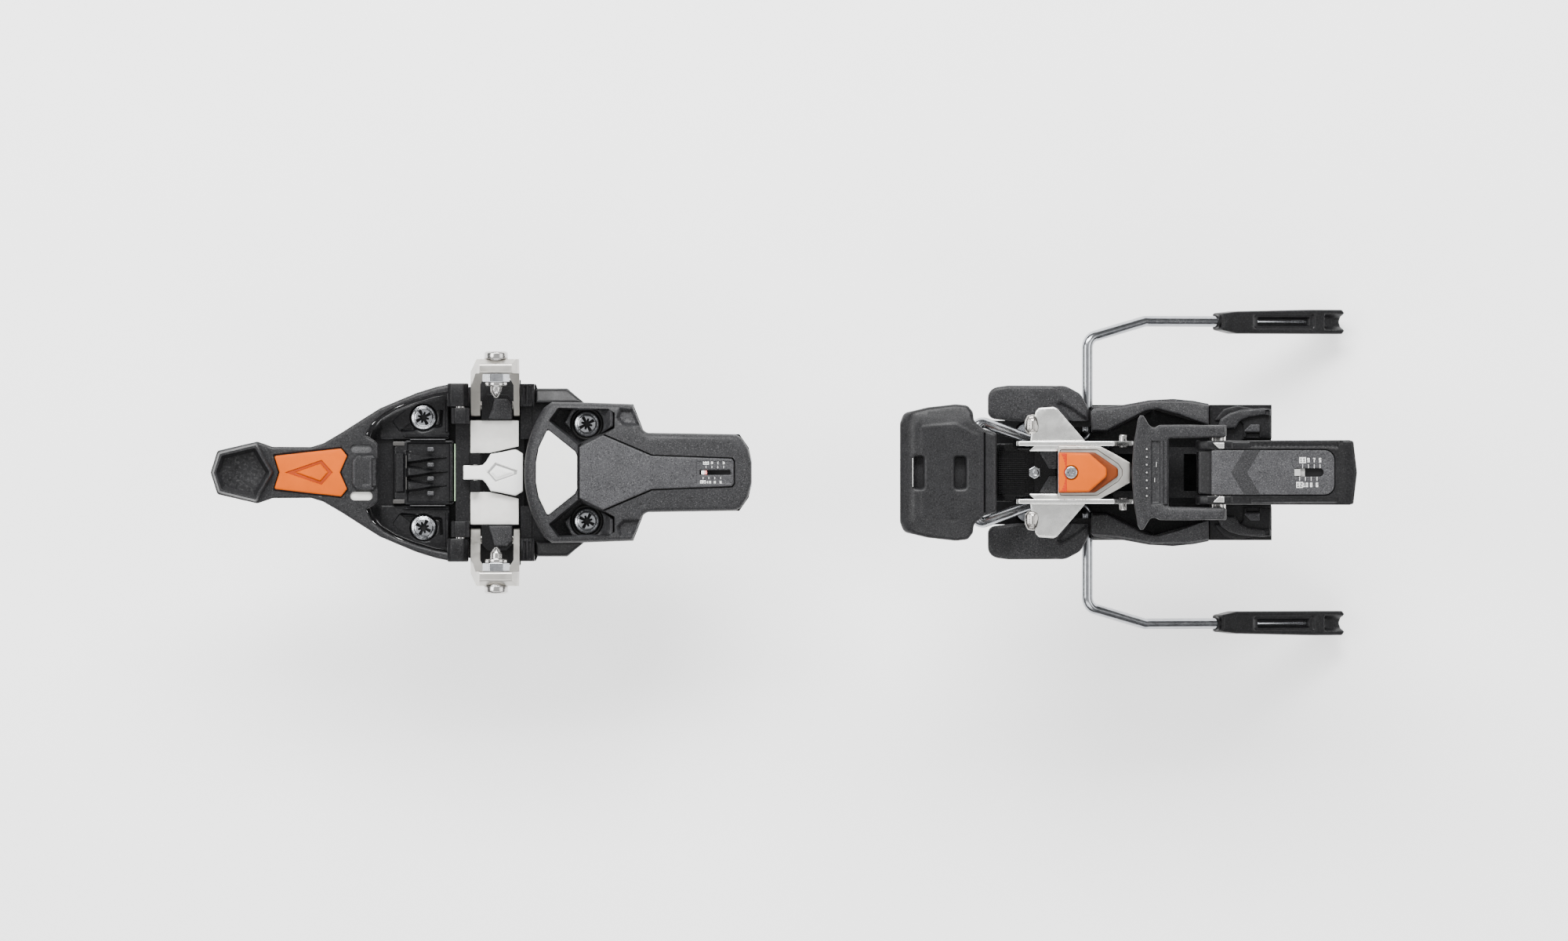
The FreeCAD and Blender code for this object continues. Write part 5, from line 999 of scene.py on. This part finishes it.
for k in range(12):
    reach = 1.55 if k % 2 == 0 else 0.95
    star.append((JAW_SCREW_X + reach * math.cos(math.radians(30 * k)), reach * math.sin(math.radians(30 * k))))
jaw_screw = relief("jaw_screw_head", ring(JAW_SCREW_X, 0.0, 2.6, 48), 52.6,
                   lambda x, y: 54.75 - 0.03 * ((x - JAW_SCREW_X) ** 2 + y ** 2), ZINC, "heel_jaw", edge=0.5,
                   grid=0.6, fine=0.3, steps=[level(star, 53.4, 0.35)])
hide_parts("jaw_screw")


# ---------------------------------------------------------------- climbing riser

riser_out = moulded([(252.9, 0.0), (253.6, 11.0), (255.4, 21.2), (256.4, 22.8), (257.6, 22.6), (260.2, 18.4),
                     (262.0, 17.8), (264.0, 18.9), (276.0, 19.0), (289.8, 18.6), (290.2, 14.0), (267.7, 13.6)],
                    [0, 14, 4, 0.6, 0.8, 2, 2, 3, 4, 0.8, 0.6, 0.6])


def riser_crown(x, y):
    """A thin curved flange that stands proud, then a slope down to the arms."""
    curve = 252.9 + 0.0045 * y * y
    z = 60.9 - 2.2 * smooth((x - curve - 1.4) / 5.0)
    return z + 0.7 * smooth((np.abs(y) - 12.5) / 3.0) * smooth((x - 262) / 4.0) - 0.3 * smooth((x - 280) / 9.0)


riser = relief("riser_frame", riser_out, 53.2, riser_crown, CHARCOAL, "climbing_riser", edge=0.8, grid=1.6, fine=0.55,
               steps=[step(rounded([(260.4, -13.0), (264.6, -12.6), (264.6, 12.6), (260.4, 13.0)], 0.6), -0.9, 0.9),
                      step(rounded(box2(265.4, 267.4, -13.0, 13.0), 0.2), 1.0, 0.5)])
dots = [prism("riser_dot", ring(258.9, -9.3 + 3.1 * k, 0.32, 12), 58.4, 59.75, LIGHT, "climbing_riser", bevel=0.0)
        for k in range(7)]
dots += [prism("riser_dash", dash, 56.5, 58.5, LIGHT, "climbing_riser", bevel=0.0)
         for dash in (box2(262.6, 262.85, 2.2, 4.2), box2(261.9, 262.15, -3.8, -2.2))]
dot_piece = join("riser_dots", dots)
riser_eye = rounded([(281.5, 54.0), (283.5, 47.2), (287.5, 45.6), (291.0, 47.2), (290.0, 54.0)], 1.4)
riser_eyes = [upright("riser_eye", riser_eye, 14.3, 18.9, s, CHARCOAL, "climbing_riser") for s, _ in SIDES]
riser = join("riser_frame", [riser] + riser_eyes)
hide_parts("climbing_riser")


# ---------------------------------------------------------------- heel lever

def lever_top(x, y):
    """Top of the heel lever: it falls gently to the rear and drops at the finger edge."""
    return 58.0 - 0.047 * np.clip(x - 300, 0, 60) - 0.55 * smooth((x - 335.6) / 1.2)


heel_window = rounded(box2(317.4, 329.2, -1.6, 1.6), 1.5)
lever_line = moulded([(292.2, 12.7), (339.6, 12.9), (341.2, 12.4), (342.6, 0.0)], 0.8)
lever_shell = relief(
    "heel_lever_shell", lever_line, 42.6, lever_top, BLACK, "heel_lever", edge=1.0, grid=1.8, fine=0.6,
    holes=[heel_window],
    steps=[
        step(moulded([(284.0, 9.3), (333.9, 9.3)], [1.0, 4.2]), -0.9, 0.35),
        step(rounded(box2(300.0, 335.0, 9.95, 12.2), 0.2), -0.3, 0.3),
        step(rounded(box2(300.0, 335.0, -12.2, -9.95), 0.2), -0.3, 0.3),
        step([(340.2, 13.6), (343.6, 3.6), (343.6, 13.6)], -1.0, 1.2),
        step([(343.6, -13.6), (343.6, -3.6), (340.2, -13.6)], -1.0, 1.2),
    ])
arm_line = rounded([(278.4, 46.6), (279.7, 55.8), (283.2, 57.6), (293.5, 57.8), (299.0, 55.0), (299.0, 43.0),
                    (286.0, 43.8), (280.2, 44.8)], 1.4)
arms = [upright("lever_arm", arm_line, 9.2, 12.7, s, BLACK, "heel_lever") for s, _ in SIDES]
lever_all = join("heel_lever_shell", [lever_shell] + arms)
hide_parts("heel_lever")

panel_top = moulded([(284.6, 8.9), (333.6, 8.9)], [0.4, 4.0])


def panel_rise(x, y):
    """Top of the panel on the heel lever, which dips at its front end."""
    return lever_top(x, y) + 0.35 - 1.6 * smooth((290.0 - x) / 6.0)


band_line = rounded([(292.4, 0.0), (297.6, 8.95), (304.2, 8.95), (298.8, 0.0), (304.2, -8.95), (297.6, -8.95)], 0.2)
lever_plate = relief("lever_plate", panel_top, 55.0, panel_rise, PANEL, "heel_lever", edge=0.4, grid=1.4, fine=0.5,
                     holes=[heel_window])
chevron_piece = relief("lever_chevron", band_line, 56.0, lambda x, y: lever_top(x, y) + 0.43, CHARCOAL, "heel_lever",
                       edge=0.12, grid=1.4, fine=0.5)
# A black patch in front of the lever plate: painted shade for the shadow under the riser.
lever_front_shade = relief("lever_front_painted_shade", moulded([(279.4, 8.4), (284.9, 9.0)], [1.0, 0.2]), 52.0,
                lambda x, y: 56.4 - 0.30 * (285.0 - x), BLACK, "heel_lever", edge=0.5, grid=1.4, fine=0.5)
# A near-black sheet in the heel scale slot: painted shade inside the window.
heel_slot_shade = prism("heel_slot_painted_shade", box2(317.0, 329.6, -2.2, 2.2), 54.9, 55.3, RECESS_SHADE, "heel_lever", bevel=0.0)
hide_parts("lever_panel")
clip_line = rounded([(285.0, 11.9), (289.7, 11.9), (289.7, 9.5), (287.6, 9.5)], 0.2)
bits = [relief("axle_clip", sided(clip_line, s), 56.0, 58.35, BRIGHT, "heel_lever", edge=0.25, grid=1.0, fine=0.4)
        for s, _ in SIDES]
clips = join("axle_clips", bits)
dress("heel_adjuster", ZINC, 0.2)
dress("heel_indicator", LIGHT, 0.1)


# ---------------------------------------------------------------- scales

# each figure is five rows of three cells, from the top down
FONT = {
    "0": "111101101101111",
    "1": "010110010010111",
    "2": "111001111100111",
    "5": "111100111001111",
    "6": "111100111101111",
    "7": "111001010010010",
    "8": "111101111101111",
    "9": "111101111001111",
}


def cell(bm, x0, x1, y0, y1, z):
    """One flat printed patch; its height follows the surface it lies on."""
    corners = [(x0, y0), (x1, y0), (x1, y1), (x0, y1)]
    bm.faces.new([bm.verts.new((x * MM, y * MM, z(x, y) * MM)) for x, y in corners])


def figure(bm, text, cx, cy, height, z, negative=False):
    """A number drawn on a 3 by 5 grid, or left out of a filled box."""
    unit = height / 5
    width = unit * 0.86
    total = len(text) * 3 * width + (len(text) - 1) * width * 0.8
    marks = [(n, r, c) for n, sign in enumerate(text) for r in range(5) for c in range(3)
             if FONT[sign][r * 3 + c] == "1"]
    if not negative:
        for n, r, c in marks:
            x0 = cx - total / 2 + n * 3.8 * width + c * width
            y1 = cy + height / 2 - r * unit
            cell(bm, x0, x0 + width, y1 - unit, y1, z)
        return
    cut_out = {(r + 1, n * 4 + 1 + c) for n, r, c in marks}
    pad = unit * 0.9
    columns = len(text) * 4 + 1
    span = total + 2 * pad
    step_x = span / columns
    step_y = (height + 2 * pad) / 7
    for r in range(7):
        for c in range(columns):
            if (r, c) not in cut_out:
                x0 = cx - span / 2 + c * step_x
                y1 = cy + height / 2 + pad - r * step_y
                cell(bm, x0, x0 + step_x, y1 - step_y, y1, z)


def scale_print(name, start, gap, rows, tick_far, z, body, size_mm):
    """White figures and ticks on both sides of a scale slot."""
    bm = bmesh.new()
    for sign, offset, labels in rows:
        for k, text in enumerate(labels):
            x = start + offset + gap * k
            figure(bm, text, x, sign * tick_far, size_mm, z, negative=(k == 0))
            near, far = sorted((sign * 1.75, sign * (tick_far - size_mm * 0.5 - 0.75)))
            cell(bm, x - 0.11, x + 0.11, near, far, z)
    return finish_mesh(name, bm, INK, body)


SCALE_ROWS = ((1, 0.0, ("11", "9", "7", "5")), (-1, -1.2, ("12", "10", "8", "6")))
toe_scale = scale_print("toe_scale", 83.6, 2.35, SCALE_ROWS, 4.1,
                        lambda x, y: float(panel_crown(np.float64(x), np.float64(y))) - 0.2, "ski_side", 1.45)
heel_scale = scale_print("heel_scale", 320.9, 2.3, SCALE_ROWS, 4.9,
                         lambda x, y: float(lever_top(np.float64(x), np.float64(y))) + 0.39, "heel_lever", 1.75)


def pointer(name, x, z0, z1, body, half):
    """The white slider with its red lines that shows in a scale slot."""
    parts = [prism(name, rounded(box2(x - 1.3, x + 1.0, -half, half), 0.3), z0, z1, WHITE, body, bevel=0.12)]
    for first, last in ((0.05, 0.35), (0.7, 0.95)):
        parts.append(prism(name + "_line", box2(x + first, x + last, -half, half), z1 - 0.2, z1 + 0.04, RED, body,
                           bevel=0.0))
    whole = join(name, parts)


pointer("toe_pointer", 83.0, 22.0, 25.9, "toe_indicator", 0.8)
pointer("heel_pointer", 319.0, 55.5, 56.4, "heel_indicator", 1.3)
# A near-black sheet in the toe scale slot: painted shade inside the window.
toe_slot_shade = prism("toe_slot_painted_shade", box2(80.6, 93.8, -1.4, 1.4), 22.6, 23.0, RECESS_SHADE, "ski_side", bevel=0.0)


# ---------------------------------------------------------------- floor, light and camera

FLOOR = material("studio_floor", (0.93, 0.93, 0.93), 0.85, tone=0.01, tone_size=60.0, bump=0.05, bump_size=4.0)
floor_shader = FLOOR.node_tree.nodes["Principled BSDF"]
floor_shader.inputs["Emission Color"].default_value = (1, 1, 1, 1)
floor_shader.inputs["Emission Strength"].default_value = 0.9
FLOOR_Z = -0.0665
floor_mesh = bpy.data.meshes.new("studio_floor")
floor_mesh.from_pydata([(x, y, FLOOR_Z) for x, y in box2(-2.4, 2.6, -2.4, 2.4)], [], [(0, 1, 2, 3)])
floor = bpy.data.objects.new("studio_floor", floor_mesh)
floor_mesh.materials.append(FLOOR)
bpy.context.collection.objects.link(floor)


def area(name, place, aim, size_x, size_y, power):
    """A soft rectangular light that looks at a point of the object."""
    light = bpy.data.lights.new(name, "AREA")
    light.shape = "RECTANGLE"
    light.size = size_x
    light.size_y = size_y
    light.energy = power
    obj = bpy.data.objects.new(name, light)
    obj.location = place
    obj.rotation_euler = (Vector(aim) - Vector(place)).to_track_quat("-Z", "Y").to_euler()
    bpy.context.collection.objects.link(obj)


area("key", (0.05, 0.95, 0.95), (0.10, 0, 0), 1.2, 0.45, 42.0)
area("fill", (0.10, -0.95, 1.15), (0.10, 0, 0), 1.6, 0.7, 11.0)
area("tip_side", (-0.85, 0.15, 1.05), (0.0, 0, 0), 0.7, 0.6, 11.0)
area("tail_side", (1.25, 0.0, 0.95), (0.2, 0, 0), 0.8, 0.9, 7.0)

world = bpy.data.worlds.new("studio")
world.use_nodes = True
tree = world.node_tree
sky = tree.nodes["Background"]
sky.inputs["Color"].default_value = (1, 1, 1, 1)
direction = tree.nodes.new("ShaderNodeTexCoord")
height = tree.nodes.new("ShaderNodeSeparateXYZ")
fade = tree.nodes.new("ShaderNodeMapRange")
fade.inputs["From Min"].default_value = 0.15
fade.inputs["From Max"].default_value = 0.95
fade.inputs["To Min"].default_value = 0.05
fade.inputs["To Max"].default_value = 0.80
tree.links.new(direction.outputs["Generated"], height.inputs["Vector"])
tree.links.new(height.outputs["Z"], fade.inputs["Value"])
tree.links.new(fade.outputs["Result"], sky.inputs["Strength"])
bpy.context.scene.world = world

camera = bpy.data.cameras.new("camera")
camera.type = "PERSP"
camera.sensor_width = 36.0
camera.lens = 600.0
camera.clip_end = 20.0
viewer = bpy.data.objects.new("camera", camera)
viewer.location = (0.1147, 0.0008, 10.447)
viewer.rotation_euler = (0, 0, 0)
bpy.context.collection.objects.link(viewer)
bpy.context.scene.camera = viewer
